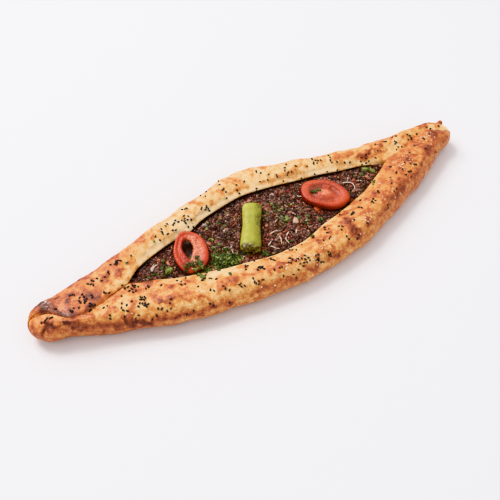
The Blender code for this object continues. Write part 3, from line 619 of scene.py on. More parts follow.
# seeds on the dough
seeds = {
    # length, width and height of a seed, and how far its middle lies above the dough, in heights
    "nigella": (2.9, 1.8, 1.5), "sesame": (2.5, 1.5, 0.8), "growth": (0.85, 1.12), "proud": 0.30,
    "lean": 0.15, "apart": 1.6, "drift": 0.9, "tries": 6, "steepest": 0.25,
    # black seeds, as pinches of x, y, spread, count
    "blackPinches": (
        (-225, 2.4, 2.2, 6), (-213, 8, 1, 1), (-211, -7, 1, 1),
        (-201, -1, 3.3, 4), (-195, 14, 1, 3), (-188, 5, 3.7, 12), (-187, -6, 2.5, 6), (-177, -22, 2.1, 2),
        (-176, 15, 3.5, 7), (-175, -11, 1.6, 2), (-167, -30, 1, 1), (-167, 1, 2.5, 3), (-162, -20, 3.6, 6),
        (-160, -7, 1, 1), (-160, 16, 2.6, 3), (-158, -34, 1, 2), (-154, 3, 1, 1), (-148, -5, 3.3, 11),
        (-148, 25, 2.3, 7), (-147, -40, 2, 2), (-147, -25, 3.1, 14), (-136, -11, 1.4, 4), (-135, 27, 1, 1),
        (-133, -39, 3, 6), (-126, -17, 1, 2), (-122, -51, 1, 1), (-113, -52, 1, 1), (-111, -24, 4.2, 5),
        (-103, 33, 2.3, 2), (-101, -38, 1, 1), (-96, -54, 3.9, 4), (-91, -35, 3, 5), (-89, 36, 3.7, 10),
        (-85, -24, 1, 2), (-83, -61, 1, 1), (-83, -40, 1, 1), (-82, -54, 3.1, 3), (-77, 39, 1.7, 2),
        (-68, 37, 4.3, 10), (-67, -56, 2.1, 4), (-67, 48, 2.5, 3), (-55, -60, 3.4, 5), (-53, -41, 2.5, 4),
        (-47, 42, 3.5, 7), (-45, -52, 4, 8), (-42, -36, 1, 1), (-39, 55, 3.3, 3), (-32, -61, 3, 4),
        (-31, -46, 3.5, 4), (-21, 45, 1, 1), (-20, -71, 2.7, 3), (-19, 53, 3.4, 4), (-18, 64, 1, 1),
        (-17, -57, 2.9, 5), (-8, 44, 1.7, 2), (-6, -63, 3.1, 10), (-6, -46, 2.3, 3), (-5, 53, 1, 1),
        (4, 51, 1, 1), (5, -44, 1, 1), (7, -67, 2.2, 7), (12, 40, 3.9, 4), (18, -44, 1, 2), (20, -67, 1.9, 4),
        (21, 52, 2.5, 3), (23, -53, 3.6, 4), (33, 45, 4, 4), (38, -43, 3.9, 4), (39, -63, 2.8, 2),
        (40, 33, 1, 1), (46, 40, 4.1, 6), (48, -52, 3.4, 3), (52, -65, 2.7, 2), (57, -32, 1, 1),
        (58, 28, 1, 1), (59, 40, 1, 1), (63, -43, 3.4, 5), (67, 35, 1, 1), (71, -59, 1, 1), (72, 25, 1.3, 2),
        (73, -28, 1, 1), (79, -42, 2.3, 2), (80, 36, 2.7, 8), (84, -31, 1, 1), (84, 22, 1, 1),
        (92, -41, 2.6, 4), (94, 19, 1, 1), (96, 29, 3.3, 5), (102, -50, 1, 2), (105, -33, 1.5, 2),
        (105, 16, 3.3, 3), (114, -19, 3, 4), (125, -41, 2.6, 2), (127, -27, 2.3, 2), (127, 14, 4.1, 7),
        (137, -21, 1, 2), (138, -11, 1, 1), (144, 11, 2.7, 2), (146, 22, 1, 1), (148, -27, 3.7, 5),
        (155, -14, 1, 1), (158, 20, 2.2, 2), (162, -20, 2.7, 3), (168, -8, 1, 1), (169, 11, 3.7, 6),
        (173, 24, 2.2, 2), (182, -1, 1, 1), (187, 10, 3.1, 5), (188, -9, 1, 1), (197, 3, 1.3, 2),
        (197, 15, 1, 1), (199, -16, 1, 1), (215, 13, 1.9, 2), (226, 10, 1, 1)),
    # pale seeds, in the same way
    "palePinches": (
        (-55, -58, 5, 5), (-38, -66, 3, 3), (-22, -64, 4, 5), (-8, -60, 4, 9), (4, -68, 4, 7),
        (16, -63, 4, 6), (27, -58, 4, 6), (36, -58, 4, 4), (62, -60, 5, 4), (75, -54, 4, 9),
        (102, -42, 3, 3), (116, -30, 6, 4), (124, -38, 4, 3), (150, -17, 5, 13), (160, -13, 4, 5),
        (203, 4, 4, 12), (196, -2, 4, 4), (-135, -20, 8, 4), (-165, -25, 7, 3), (-96, -40, 7, 3),
        (45, 36, 7, 3), (-70, 36, 8, 3), (170, 14, 5, 4)),
}


def seedMaterial(name, dark, light, roughness):
    made, tree, shader = newMaterial(name, roughness, specular=0.45)
    level = toneParts(tree)[1]
    value = mottled(tree, level, speckle(tree, 0.0007, 2), 0.25)
    tree.links.new(colourRamp(tree, value, ((0, dark), (1, light))), shader.inputs["Base Color"])
    addBump(tree, shader, speckle(tree, 0.0004, 2), 0.0002, 0.5)
    return made


def addSeed(bm, tone, matrix, size, level):  # the poles lie along the seed, and one end is pointed
    for v in bmesh.ops.create_uvsphere(bm, u_segments=7, v_segments=5, radius=0.5)["verts"]:
        p = v.co.copy()
        slim = 1 - 0.45 * ease(0.0, 0.5, p.z)
        v.co = matrix @ Vector((p.z * size.x, p.x * slim * size.y, p.y * slim * size.z))
        v[tone] = (0, level, 0, 1)


def seedSpot(draw, pinch, placed):  # a free place of the pinch on the dough, as (point, normal)
    x, y, wide, _ = pinch
    for _ in range(seeds["tries"]):
        hit = surfaceAt(crustTrees, draw.gauss(x, seeds["drift"] * wide) * mm,
                        draw.gauss(y, seeds["drift"] * wide) * mm)
        if hit and hit[1].z > seeds["steepest"]:
            if all((hit[0] - other).length > seeds["apart"] * mm for other in placed):
                return hit
    return None


def scatterSeeds(name, pinches, size, material, seedNumber):
    draw = random.Random(seedNumber)
    placed, jobs = [], []
    for pinch in pinches:
        for _ in range(pinch[3]):
            spot = seedSpot(draw, pinch, placed)
            if spot is None:
                continue
            point, normal = spot
            placed.append(point)
            grown = Vector(size) * mm * draw.uniform(*seeds["growth"])
            lean = (normal + anyVector(draw, -seeds["lean"], seeds["lean"], 2).to_3d()).normalized()
            stood = facing(lean, draw.uniform(0, 2 * math.pi))
            matrix = Matrix.Translation(point + normal * grown.z * seeds["proud"]) @ stood
            jobs.append((matrix, grown, draw.uniform(0.1, 0.9)))
    return scatterPiece(name, jobs, addSeed, material, "baked_dough")


scatterSeeds("nigellaSeeds", seeds["blackPinches"], seeds["nigella"],
             seedMaterial("nigellaSkin", (0.008, 0.006, 0.007), (0.030, 0.024, 0.026), 0.45), 11)
scatterSeeds("sesameSeeds", seeds["palePinches"], seeds["sesame"],
             seedMaterial("sesameSkin", (0.72, 0.42, 0.22), (0.90, 0.70, 0.50), 0.5), 12)

# toppings: places, shapes and tones
tomatoSteps = 132
ring = {
    "centre": (-0.0853, 0.0028), "size": (0.0224, 0.0158), "turn": math.radians(70), "thick": 0.0062,
    "underside": 0.0190, "tilt": 0.142, "hole": (0.0104, 0.0051), "holeShift": (0.0038, 0.0020),
    "holeNarrows": 0.45, "lumps": ((0.5, 0.0045, 51), (0.25, 0.0018, 52)),
    # the slice's section, as (share of the way from the hole to the rim, share of the thickness)
    "profile": (
        (0.04, 0.10), (0.15, 0.03), (0.35, 0.0), (0.60, 0.0), (0.82, 0.02), (0.93, 0.08), (0.985, 0.20),
        (1.0, 0.36), (1.0, 0.54), (0.995, 0.72), (0.97, 0.88), (0.91, 0.97), (0.82, 1.0), (0.72, 0.985),
        (0.64, 0.94), (0.57, 0.86), (0.49, 0.83), (0.40, 0.85), (0.31, 0.90), (0.22, 0.94), (0.13, 0.93),
        (0.06, 0.84), (0.02, 0.68), (0.0, 0.48), (0.01, 0.26)),
    "flesh": 0.70, "skinDark": 0.42, "farInsideDark": 0.16, "farEndDark": 0.22, "lowDark": 0.30, "pale": 0.85,
}
oval = {
    "centre": (0.0625, -0.0035), "size": (0.0240, 0.0175), "turn": math.radians(-54), "thick": 0.0070,
    "underside": 0.0176, "tilt": 0.060, "lumps": ((0.35, 0.0040, 55), (0.22, 0.0016, 56)),
    # from the middle to the rim, with the sunken ring of seed chambers between
    "profile": (
        (0, 0), (0.30, 0), (0.60, 0.0), (0.85, 0.01), (0.94, 0.07), (0.985, 0.20), (1, 0.38), (1, 0.58),
        (0.99, 0.78), (0.96, 0.92), (0.90, 0.99), (0.82, 1.0), (0.74, 0.985), (0.69, 0.94), (0.65, 0.80),
        (0.59, 0.66), (0.51, 0.61), (0.43, 0.66), (0.36, 0.79), (0.30, 0.90), (0.22, 0.95), (0.12, 0.97),
        (0, 0.96)),
    "chambers": 0.50, "pitWide": 0.13, "ribWide": 0.14, "ribHeight": 1.1, "ribTurns": 3.5,
    "flesh": 0.62, "skinDark": 0.38, "pitDark": 0.42, "rindSwing": 0.12, "corePale": 0.25,
    "paleCore": 0.95, "paleRim": 0.22,
}
pepper = {"centre": (-0.0217, -0.0010), "length": 0.0570, "width": 0.0195, "thick": 0.0095,
          "turn": math.radians(55.5), "underside": 0.0168,
          "stations": ((0, 0.62), (0.015, 0.86), (0.05, 0.97), (0.12, 1.0), (0.35, 0.93), (0.55, 0.86),
                       (0.80, 0.95), (0.95, 0.96), (0.985, 0.84), (1, 0.60)),
          "rows": 96, "columns": 56, "square": 0.8, "endHigh": 0.55, "ragged": 3.2, "dents": 0.25,
          # painted light: how much lighter the side facing the lamp is, and a painted highlight near the
          # smooth end
          "skin": 0.62, "paintedLitSide": 0.20, "paintedTipHighlight": 0.12}
heap = {"centre": (-0.0610, -0.0195), "size": (0.0110, 0.0062), "turn": math.radians(-18),
        "underside": 0.0156, "height": 0.0042, "leaves": 150, "overhang": 1.35, "leafSizes": (2.8, 5.6)}
filling = {"start": -0.1385, "end": 0.1355, "rings": 330, "across": 104, "edge": 0.0144, "crown": 0.0168,
           "bedMargin": 0.0050, "bedSlope": 1.25, "gap": 0.0003, "skin": 0.0010, "underLip": 0.0012,
           # tone: level and swing of the meat under the crumbs, kept dark as painted shade in the gaps
           # between them
           "lumps": ((1.5, 0.0075, 20), (1.0, 0.0040, 21), (0.5, 0.0021, 22)), "tone": (0.16, 0.14)}


def footprint(x, y, centre, size, turn):  # how far along and across an oval (x, y) lies, 1 at its edge
    dx, dy = x - centre[0], y - centre[1]
    return ((dx * math.cos(turn) + dy * math.sin(turn)) / size[0],
            (dy * math.cos(turn) - dx * math.sin(turn)) / size[1])


def laid(topping, tilt=0.0, axis="X"):  # the matrix that lays a topping in its bed
    return (Matrix.Translation((*topping["centre"], topping["underside"]))
            @ Matrix.Rotation(topping["turn"], 4, "Z") @ Matrix.Rotation(tilt, 4, axis))


def pressed(x, y, z):  # lowered to the beds that the toppings press into the meat
    pepperSize = (pepper["length"] / 2, pepper["width"] / 2)
    beds = ((ring["centre"], ring["size"], ring["turn"], ring["underside"], (ring["tilt"], 0), 2),
            (oval["centre"], oval["size"], oval["turn"], oval["underside"], (0, oval["tilt"]), 2),
            (pepper["centre"], pepperSize, pepper["turn"], pepper["underside"], (0, 0), 8),
            (heap["centre"], heap["size"], heap["turn"], heap["underside"], (0, 0), 2))
    for centre, size, turn, underside, tilt, corner in beds:
        wide = (size[0] + filling["bedMargin"], size[1] + filling["bedMargin"])
        a, b = footprint(x, y, centre, wide, turn)
        past = (abs(a) ** corner + abs(b) ** corner) ** (1 / corner)
        if past < filling["bedSlope"]:
            height = underside + tilt[0] * a * wide[0] + tilt[1] * b * wide[1] - filling["gap"]
            z = min(z, mix(z, height, 1 - ease(1, filling["bedSlope"], past)))
    return z


lipGap = 0.0004


def clearOfToppings(x, y, margin):
    near, far = lips(x)
    if y - margin < near[0] + lipGap or y + margin > far[0] - lipGap:
        return False
    for topping in (ring, oval):
        wide = (topping["size"][0] + margin, topping["size"][1] + margin)
        if math.hypot(*footprint(x, y, topping["centre"], wide, topping["turn"])) < 1:
            return False
    wide = (pepper["length"] / 2 + margin, pepper["width"] / 2 + margin)
    return max(abs(side) for side in footprint(x, y, pepper["centre"], wide, pepper["turn"])) > 1


# minced meat
meatStops = ((0.00, (0.014, 0.005, 0.004)), (0.25, (0.055, 0.020, 0.015)), (0.48, (0.148, 0.056, 0.038)),
             (0.70, (0.295, 0.122, 0.078)), (0.86, (0.450, 0.225, 0.150)), (1.00, (0.680, 0.480, 0.330)))


def meatMaterial(name, roughness, coat):
    made, tree, shader = newMaterial(name, roughness, specular=0.5, coat=coat, coatRoughness=0.25)
    level, _, _ = toneParts(tree)
    value = mottled(tree, level, speckle(tree, 0.0014, 4, roughness=0.7), 0.34, 0.28, 0.72)
    redder = spread(tree, speckle(tree, 0.012, 2), 0.45, 0.65, (0.0, 0.75))
    colour = blendColour(tree, redder, colourRamp(tree, value, meatStops), (1.40, 0.80, 0.68), "MULTIPLY")
    tree.links.new(colour, shader.inputs["Base Color"])
    tree.links.new(spread(tree, speckle(tree, 0.0022, 2), 0.35, 0.65, (roughness - 0.12, roughness + 0.18)),
                   shader.inputs["Roughness"])
    addBump(tree, shader, speckle(tree, 0.0006, 4), 0.0004, 0.7)
    return made


def fillingSection(x):  # one section of the meat, from the dough's floor up the walls and over the top
    points = contour(x)
    nearLip, farLip, floor = points[9], points[19], points[14]
    nearRoot, nearRoof, nearWall, nearFloor = points[10:14]
    farFloor, farWall, farRoof, farRoot = points[15:19]
    skin, underLip = filling["skin"], filling["underLip"]
    edge = min(filling["edge"], nearRoot[1] - underLip, farRoot[1] - underLip)
    nearY, farY = mix(nearRoot[0], nearRoof[0], 0.3), mix(farRoot[0], farRoof[0], 0.3)

    def inside(p, inset, lift):
        return Vector((x, p[0] + math.copysign(inset, floor[0] - p[0]), p[1] + lift))

    def corner(roof, root):
        return Vector((x, mix(roof[0], root[0], 0.1), min(edge, roof[1] - skin)))

    line = [inside(floor, 0, skin), inside(nearFloor, 0.0004, skin), inside(nearWall, skin, 0),
            corner(nearRoof, nearRoot)]
    shown = insideCorners(x, dough["openingRun"])
    for k in range(filling["across"]):
        share = (k + 0.5) / filling["across"]
        y = mix(nearY, farY, share)
        inner = math.sin(math.pi * share)
        z = mix(edge, filling["crown"], min(1, 1.4 * inner) * shown)
        z = pressed(x, y, z + mm * lumps(x, y, filling["lumps"]) * ease(0.05, 0.35, inner))
        fromLips = min(y - nearLip[0], farLip[0] - y)  # kept low under the lips
        line.append(Vector((x, y, min(z, mix(edge, rayStart, ease(-0.001, 0.006, fromLips))))))
    return line + [corner(farRoof, farRoot), inside(farWall, skin, 0), inside(farFloor, 0.0004, skin)]


def makeFillingCore():
    rings = [fillingSection(mix(filling["start"], filling["end"], k / filling["rings"]))
             for k in range(filling["rings"] + 1)]
    for end in (0, -1):  # the ends close on a point
        middle = sum(rings[end], Vector()) / len(rings[end])
        rings.insert(0 if end == 0 else len(rings), [middle] * len(rings[end]))
    bm = bmesh.new()
    tone = toneLayer(bm)

    def place(i, j, vert):
        point = rings[i][j]
        # the meat under the crumbs is painted dark: painted shade in the gaps between them
        level, swing = filling["tone"]
        vert[tone] = (level + swing * wobble(point, 0.003, 23), 0, 0, 1)
        return point

    wrapGrid(bm, len(rings), len(rings[0]), place)
    return finishPiece("meatCore", bm, meatMaterial("meatBed", 0.45, 0.10), "minced_meat", "filling")


core = makeFillingCore()
coreTrees = surfaceTree(core)

crumbs = {
    # name: how many, smallest and largest radius, subdivisions, tone range, sunk share
    "meatCrumbs": (2100, (0.9, 2.5), 2, (0.04, 0.78), 0.35),
    "meatGrains": (9500, (0.35, 1.0), 1, (-0.05, 1.05), -0.35),
    "across": 0.043, "smallShare": 2.2, "usualTone": 0.36, "toneDrift": 0.22, "lean": 0.6,
    # a painted shadow of the far lip on the crumbs: how much darker, and the distances from the lip where it
    # starts and is full
    "farLipShadow": 0.45, "farLipShadowRun": (0.0050, 0.0015),
    "length": (0.9, 1.45), "width": (0.75, 1.0), "height": (0.55, 0.85), "noiseRange": 50,
}


def addCrumb(bm, tone, matrix, size, level, shift, subdivisions):
    for v in bmesh.ops.create_icosphere(bm, subdivisions=subdivisions, radius=1)["verts"]:
        p = v.co.copy()
        rough = 1 + 0.60 * noise.noise(p * 1.4 + shift) + 0.35 * noise.noise(p * 3.1 - shift)
        v.co = matrix @ (p * size * rough)
        # the crumb's top is painted lighter and its underside darker: painted light and shade
        v[tone] = (level + 0.08 * p.z, 0, 0, 1)


def scatterCrumbs(name, material, seedNumber):
    count, (low, high), subdivisions, (dark, light), sunk = crumbs[name]
    usual = mix(dark, light, crumbs["usualTone"])
    draw = random.Random(seedNumber)
    jobs = []
    while len(jobs) < count:
        x = draw.uniform(dough["leftCorner"], dough["rightCorner"])
        y = draw.uniform(-crumbs["across"], crumbs["across"])
        radius = mix(low, high, draw.random() ** crumbs["smallShare"]) * mm
        hit = surfaceAt(coreTrees + crustTrees, x, y) if clearOfToppings(x, y, radius * 0.7) else None
        if hit is None:
            continue
        point, normal = hit
        matrix = (Matrix.Translation(point + normal * radius * draw.uniform(-sunk, 0.7 - sunk))
                  @ facing(normal, anyTurn(draw))
                  @ Matrix.Rotation(draw.uniform(-crumbs["lean"], crumbs["lean"]), 4, "X"))
        size = Vector([draw.uniform(*crumbs[part]) for part in ("length", "width", "height")]) * radius
        shift = anyVector(draw, 0, crumbs["noiseRange"])
        level = draw.triangular(dark, light, usual) + crumbs["toneDrift"] * wobble((x, y, 0), 0.009, 33)
        # painted shadow: crumbs by the far lip are darker, as the lip's shade on them
        level -= crumbs["farLipShadow"] * ease(*crumbs["farLipShadowRun"], lips(x)[1][0] - y)  # dark by the far lip
        jobs.append((matrix, size, level, shift, subdivisions))
    return scatterPiece(name, jobs, addCrumb, material, "minced_meat")


scatterCrumbs("meatCrumbs", meatMaterial("meatCrumb", 0.42, 0.15), 31)
scatterCrumbs("meatGrains", meatMaterial("meatGrain", 0.50, 0.05), 32)

# onion, garlic and small bits in the filling
shreds = {
    "routes": (
        ((-11.4, -15.9), (-4.0, -15.0), (2.5, -18.2)), ((-5.0, -21.5), (-5.5, -26.5), (-8.4, -31.7)),
        ((6.9, -21.8), (-0.7, -27.3), (-2.0, -35.0)), ((-18.5, -27.2), (-15.5, -31.5), (-12.5, -35.0)),
        ((87.8, 1.0), (93.0, -0.4), (96.5, -3.3), (95.5, -9.0), (91.5, -14.5)),
        ((-124.0, 6.0), (-120.0, 8.8), (-116.0, 9.0)), ((-19.9, -26.1), (-15.0, -23.5), (-11.2, -21.5)),
        ((-58.3, -7.4), (-54.5, -7.0), (-51.0, -7.8)), ((-46.8, -4.7), (-50.0, -11.0), (-52.2, -18.5)),
        ((14.0, -24.0), (11.0, -27.5), (10.0, -31.0)), ((-1.5, -9.0), (3.0, -5.0), (6.5, -3.2)),
        ((-121.3, 8.8), (-118.5, 11.5)), ((-56.0, 29.4), (-53.0, 30.4)), ((40.0, 12.0), (43.5, 8.5)),
        ((22.0, -4.0), (24.5, -8.5)), ((-10.0, 22.0), (-6.0, 24.0)), ((104.0, -3.0), (108.0, -6.0)),
    ),
    "width": 1.5, "thick": 0.8, "lift": 1.2, "arch": 0.3, "stiff": 0.75, "twist": 1.5,
    "steps": 14, "sides": 8,
    "chunk": (18.3, -14.8, 6.4, 4.6, 3.6),  # x, y and size of the garlic piece
}


def onionMaterial():
    made, tree, shader = newMaterial("fadedOnion", 0.38, specular=0.5, coat=0.15)
    level, _, _ = toneParts(tree)
    value = mottled(tree, level, speckle(tree, 0.0012, 3), 0.2)
    tree.links.new(colourRamp(tree, value, ((0, (0.40, 0.20, 0.10)), (0.4, (0.60, 0.42, 0.30)),
                                            (1, (0.82, 0.70, 0.60)))), shader.inputs["Base Color"])
    addBump(tree, shader, speckle(tree, 0.0006, 3), 0.0002, 0.5)
    return made


def smoothRoute(route):  # a smooth line through the route's points, in metres
    points = [Vector((x * mm, y * mm)) for x, y in route]
    points = [points[0] * 2 - points[1]] + points + [points[-1] * 2 - points[-2]]
    line = []
    spans = len(points) - 3
    for k in range(shreds["steps"] + 1):
        t = k / shreds["steps"] * spans
        i = min(spans - 1, int(t))
        a, b, c, d = points[i:i + 4]
        t -= i
        line.append(0.5 * (2 * b + (c - a) * t + (2 * a - 5 * b + 4 * c - d) * t * t
                           + (3 * b - a - 3 * c + d) * t**3))
    return line


def addShred(bm, tone, line, ground, level, wide):
    top = max(hit[0].z for hit in ground)
    steps, thick = shreds["steps"], shreds["thick"] * mm

    def place(i, j, vert):
        share = i / steps
        centre = line[i].to_3d()
        centre.z = (mix(ground[i][0].z, top, shreds["stiff"]) + shreds["lift"] * mm
                    + shreds["arch"] * mm * math.sin(9 * share + level * 9))
        ahead = line[min(i + 1, steps)] - line[max(i - 1, 0)]
        across = Vector((-ahead.y, ahead.x, 0)).normalized()
        full = math.sqrt(max(0, 1 - abs(2 * share - 1) ** 6)) * (0.8 + 0.2 * math.sin(5 * share + level))
        angle = 2 * math.pi * j / shreds["sides"] + shreds["twist"] * (share - 0.5)
        # the shred's top is painted lighter and its underside darker: painted light and shade
        vert[tone] = (level + 0.1 * math.sin(angle), 0, 0, 1)
        return (centre + across * math.cos(angle) * 0.5 * wide * full
                + Vector((0, 0, math.sin(angle) * 0.5 * thick * full)))

    wrapGrid(bm, steps + 1, shreds["sides"], place)


def addGarlic(bm, tone):  # a bevelled block that is narrower at one end
    x, y, length, width, height = (value * mm for value in shreds["chunk"])
    point = surfaceAt(coreTrees, x, y)[0]
    lean = facing(Vector((0.2, -0.3, 1)).normalized(), 0.5)
    made = bmesh.ops.create_cube(bm, size=1)["verts"]
    edges = list({e for v in made for e in v.link_edges})
    made = bmesh.ops.bevel(bm, geom=made + edges, offset=0.22, segments=3, profile=0.5, affect="EDGES",
                           material=-1)["verts"]
    for v in made:
        p = v.co.copy()
        v.co = point + lean @ Vector((p.x * length, p.y * width * (1 - 0.5 * p.x),
                                      p.z * height + 0.6 * height))
        v[tone] = (0.42 - 0.25 * p.x, 0, 0, 1)


def makeShreds():
    draw = random.Random(41)
    bm = bmesh.new()
    tone = toneLayer(bm)
    for route in shreds["routes"]:
        line = smoothRoute(route)
        ground = [surfaceAt(coreTrees, *p) for p in line]
        if None not in ground:
            level, wide = draw.uniform(0.35, 0.9), shreds["width"] * mm * draw.uniform(0.7, 1.1)
            addShred(bm, tone, line, ground, level, wide)
    addGarlic(bm, tone)
    return finishPiece("onionShreds", bm, onionMaterial(), "minced_meat")


makeShreds()

bits = {
    "colours": {"paleGreen": (0.26, 0.31, 0.075), "green": (0.10, 0.17, 0.035), "red": (0.48, 0.045, 0.020),
                "fat": (0.62, 0.53, 0.47), "tan": (0.42, 0.25, 0.11), "tomato": (0.56, 0.10, 0.035)},
    # x, y, length, width, colour
    "placed": (
        (14.5, -7.4, 6.5, 4.5, "paleGreen"), (24.9, -12.6, 4.5, 3.5, "green"),
        (42.6, -25.6, 4.0, 3.0, "green"), (-25.8, -33.2, 4.5, 3.0, "green"),
        (-12.1, -14.5, 3.5, 2.0, "red"), (23.6, -24.1, 2.6, 1.8, "red"), (30.1, 1.4, 3.8, 2.0, "red"),
        (121.5, 4.0, 8.5, 5.5, "paleGreen"), (125.5, -0.8, 6.5, 4.5, "paleGreen"),
        (115.8, -4.0, 4.2, 2.4, "red"), (-56.1, 28.2, 4.6, 3.6, "fat"), (-39.3, 27.0, 4.5, 2.6, "tan"),
        (21.0, 26.8, 4.5, 1.8, "fat"), (12.9, 16.6, 4.5, 3.2, "paleGreen"),
        (46.5, -10.8, 3.4, 2.6, "green"), (40.2, -24.6, 4.0, 3.0, "green"),
        (-109.8, -2.4, 8.0, 5.5, "paleGreen"), (-110.1, 9.4, 5.0, 3.4, "green"),
        (-129.2, 0.9, 3.4, 2.6, "green"), (-122.7, 7.4, 7.0, 3.0, "fat"),
        (-56.3, -0.6, 5.0, 3.2, "paleGreen"), (-59.4, 8.7, 4.6, 3.0, "paleGreen"),
        (-44.0, 12.0, 3.0, 2.0, "fat"), (-66.0, 20.0, 3.0, 2.0, "tan"), (3.0, 24.0, 3.4, 2.0, "red"),
        (-4.0, 30.0, 3.0, 2.2, "green"), (60.0, 22.0, 3.2, 2.0, "tan"), (36.0, 22.0, 3.6, 2.2, "red"),
        (90.0, 10.0, 3.0, 2.0, "tan"), (-20.0, -36.0, 3.4, 2.0, "tan"),
        (-35.0, -25.0, 3.6, 1.8, "tan"), (8.0, -27.0, 3.0, 1.8, "green"),
        (-2.0, 2.0, 7.5, 2.0, "green"), (98.0, 4.0, 3.0, 2.0, "fat"), (50.0, 16.0, 2.6, 2.0, "fat"),
        (-30.0, 30.0, 3.0, 2.0, "paleGreen"), (46.0, -13.0, 7.5, 5.0, "tomato"),
        (-12.0, 26.0, 3.0, 2.0, "red"), (76.0, 14.0, 3.4, 2.2, "green"), (20.0, 8.0, 3.2, 2.0, "tan"),
        (-36.0, 6.0, 3.4, 2.4, "tan"),
    ),
    # small ones at random places: how many, within x and y, length, width and colours
    "fines": 150, "fineX": (-135, 132), "fineY": (-40, 40), "fineLength": (1.2, 2.6), "fineWidth": (0.8, 1.6),
    "fineColours": ("green", "paleGreen", "red", "fat", "tan", "tan"), "margin": 0.002, "noiseRange": 50,
}


def bitMaterial():
    made, tree, shader = newMaterial("vegetableBits", 0.38, specular=0.5, coat=0.12)
    shade = colourRamp(tree, speckle(tree, 0.0016, 3), ((0.3, (0.45, 0.42, 0.40)), (0.7, (1.25, 1.25, 1.2))))
    colour = blendColour(tree, 1.0, toneColour(tree), shade, "MULTIPLY")
    tree.links.new(colour, shader.inputs["Base Color"])
    addBump(tree, shader, speckle(tree, 0.0007, 3), 0.0003, 0.6)
    return made


def addBit(bm, tone, matrix, size, colour, shift):
    for v in bmesh.ops.create_icosphere(bm, subdivisions=2, radius=0.5)["verts"]:
        p = v.co.copy()
        rough = 1 + 1.1 * noise.noise(p * 4 + shift)
        v.co = matrix @ (p * size * rough)
        v[tone] = (*colour, 1)


def makeBits():
    draw = random.Random(45)
    rows = list(bits["placed"])
    while len(rows) < len(bits["placed"]) + bits["fines"]:
        x, y = draw.uniform(*bits["fineX"]), draw.uniform(*bits["fineY"])
        if clearOfToppings(x * mm, y * mm, bits["margin"]):
            rows.append((x, y, draw.uniform(*bits["fineLength"]), draw.uniform(*bits["fineWidth"]),
                         draw.choice(bits["fineColours"])))
    jobs = []
    for x, y, length, width, name in rows:
        hit = surfaceAt(coreTrees, x * mm, y * mm)
        if hit is None:
            continue
        point, normal = hit
        height = 0.42 * width + 0.4
        lifted = point + normal * (0.9 + 0.25 * height) * mm
        matrix = Matrix.Translation(lifted) @ facing(normal, anyTurn(draw))
        jobs.append((matrix, Vector((length, width, height)) * mm, bits["colours"][name],
                     anyVector(draw, 0, bits["noiseRange"])))
    return scatterPiece("vegetableBits", jobs, addBit, bitMaterial(), "minced_meat")


makeBits()

# parsley
leaves = {
    # a leaf's thickness, corners, depth of its cuts, width for its length, curl and sizes in millimetres
    "thick": 0.28, "lobes": 11, "cuts": (0.30, 0.18), "long": (0.5, 0.9), "curl": 0.9, "sizes": (1.5, 4.8),
    "drift": 0.7, "lean": 0.5, "steepest": 0.3, "lift": 1.1, "placedLift": 1.2, "placedTone": (0.4, 0.75),
    # scattered leaf bits on the filling, as x, y, spread, count
    "onFilling": (
        (-113, -3, 5, 7), (-108, 5, 4, 5), (-120, -2, 4, 5), (-126, 2, 3, 3), (-98, -14, 4, 4),
        (8, -10, 6, 10), (13, 4, 6, 7), (28, -21, 4, 6), (0, 14, 5, 5), (24, 12, 8, 6),
        (-42, 20, 6, 8), (-56, 4, 6, 8), (-50, 27, 6, 5), (105, 2, 6, 4), (118, 4, 5, 4),
        (30, 0, 7, 6), (35, 20, 7, 5), (-3, -22, 6, 6), (-30, -30, 5, 6), (85, -16, 5, 4),
        (-66, 12, 5, 4), (5, -32, 4, 3)),
    # leaves with a place of their own: x, y, size, most lean
    "placed": ((-91.9, -23.9, 5.2, 0.2), (-91.2, -30.5, 6.0, 0.1), (-92.5, -27.2, 3.2, 0.2),
               (-109.6, -2.1, 7.0, 0.4), (-114.5, 4.0, 6.5, 0.3), (-70.0, -41.0, 3.6, 0.1),
               (20.0, -41.5, 4.0, 0.1), (113.0, -17.0, 4.2, 0.2), (-140.5, 20.0, 3.0, 0.2),
               (-108.0, 30.5, 2.6, 0.2), (10.0, -4.0, 5.5, 0.5), (13.5, -9.0, 6.0, 0.4)),
    # the same kind of pinches on the two slices and round the heap
    "onSlices": ((-89, -13, 7, 34), (55, 3, 3, 7)),
    "roundHeap": ((-66, -9, 5, 16), (-58, -12, 5, 14), (-50, -18, 4, 10), (-75, -23, 4, 16), (-45, -24, 4, 7),
                  (-80, -20, 4, 14), (-62, -3, 4, 6)),
}


def leafMaterial():
    made, tree, shader = newMaterial("parsleyLeaf", 0.5, specular=0.4)
    level, _, _ = toneParts(tree)
    value = mottled(tree, level, speckle(tree, 0.0012, 3), 0.18)
    tree.links.new(colourRamp(tree, value, ((0, (0.016, 0.023, 0.008)), (0.35, (0.052, 0.072, 0.021)),
                                            (0.7, (0.150, 0.190, 0.050)), (1, (0.39, 0.44, 0.14)))),
                   shader.inputs["Base Color"])
    addBump(tree, shader, speckle(tree, 0.0008, 3), 0.0003, 0.6)
    return made


def leafJob(draw, point, normal, size, level):  # where a leaf lies, and how it is cut and bent
    matrix = Matrix.Translation(point) @ facing(normal, anyTurn(draw))
    turn, long = anyTurn(draw), draw.uniform(*leaves["long"])
    return matrix, size, level, turn, long, draw.uniform(-leaves["curl"], leaves["curl"])


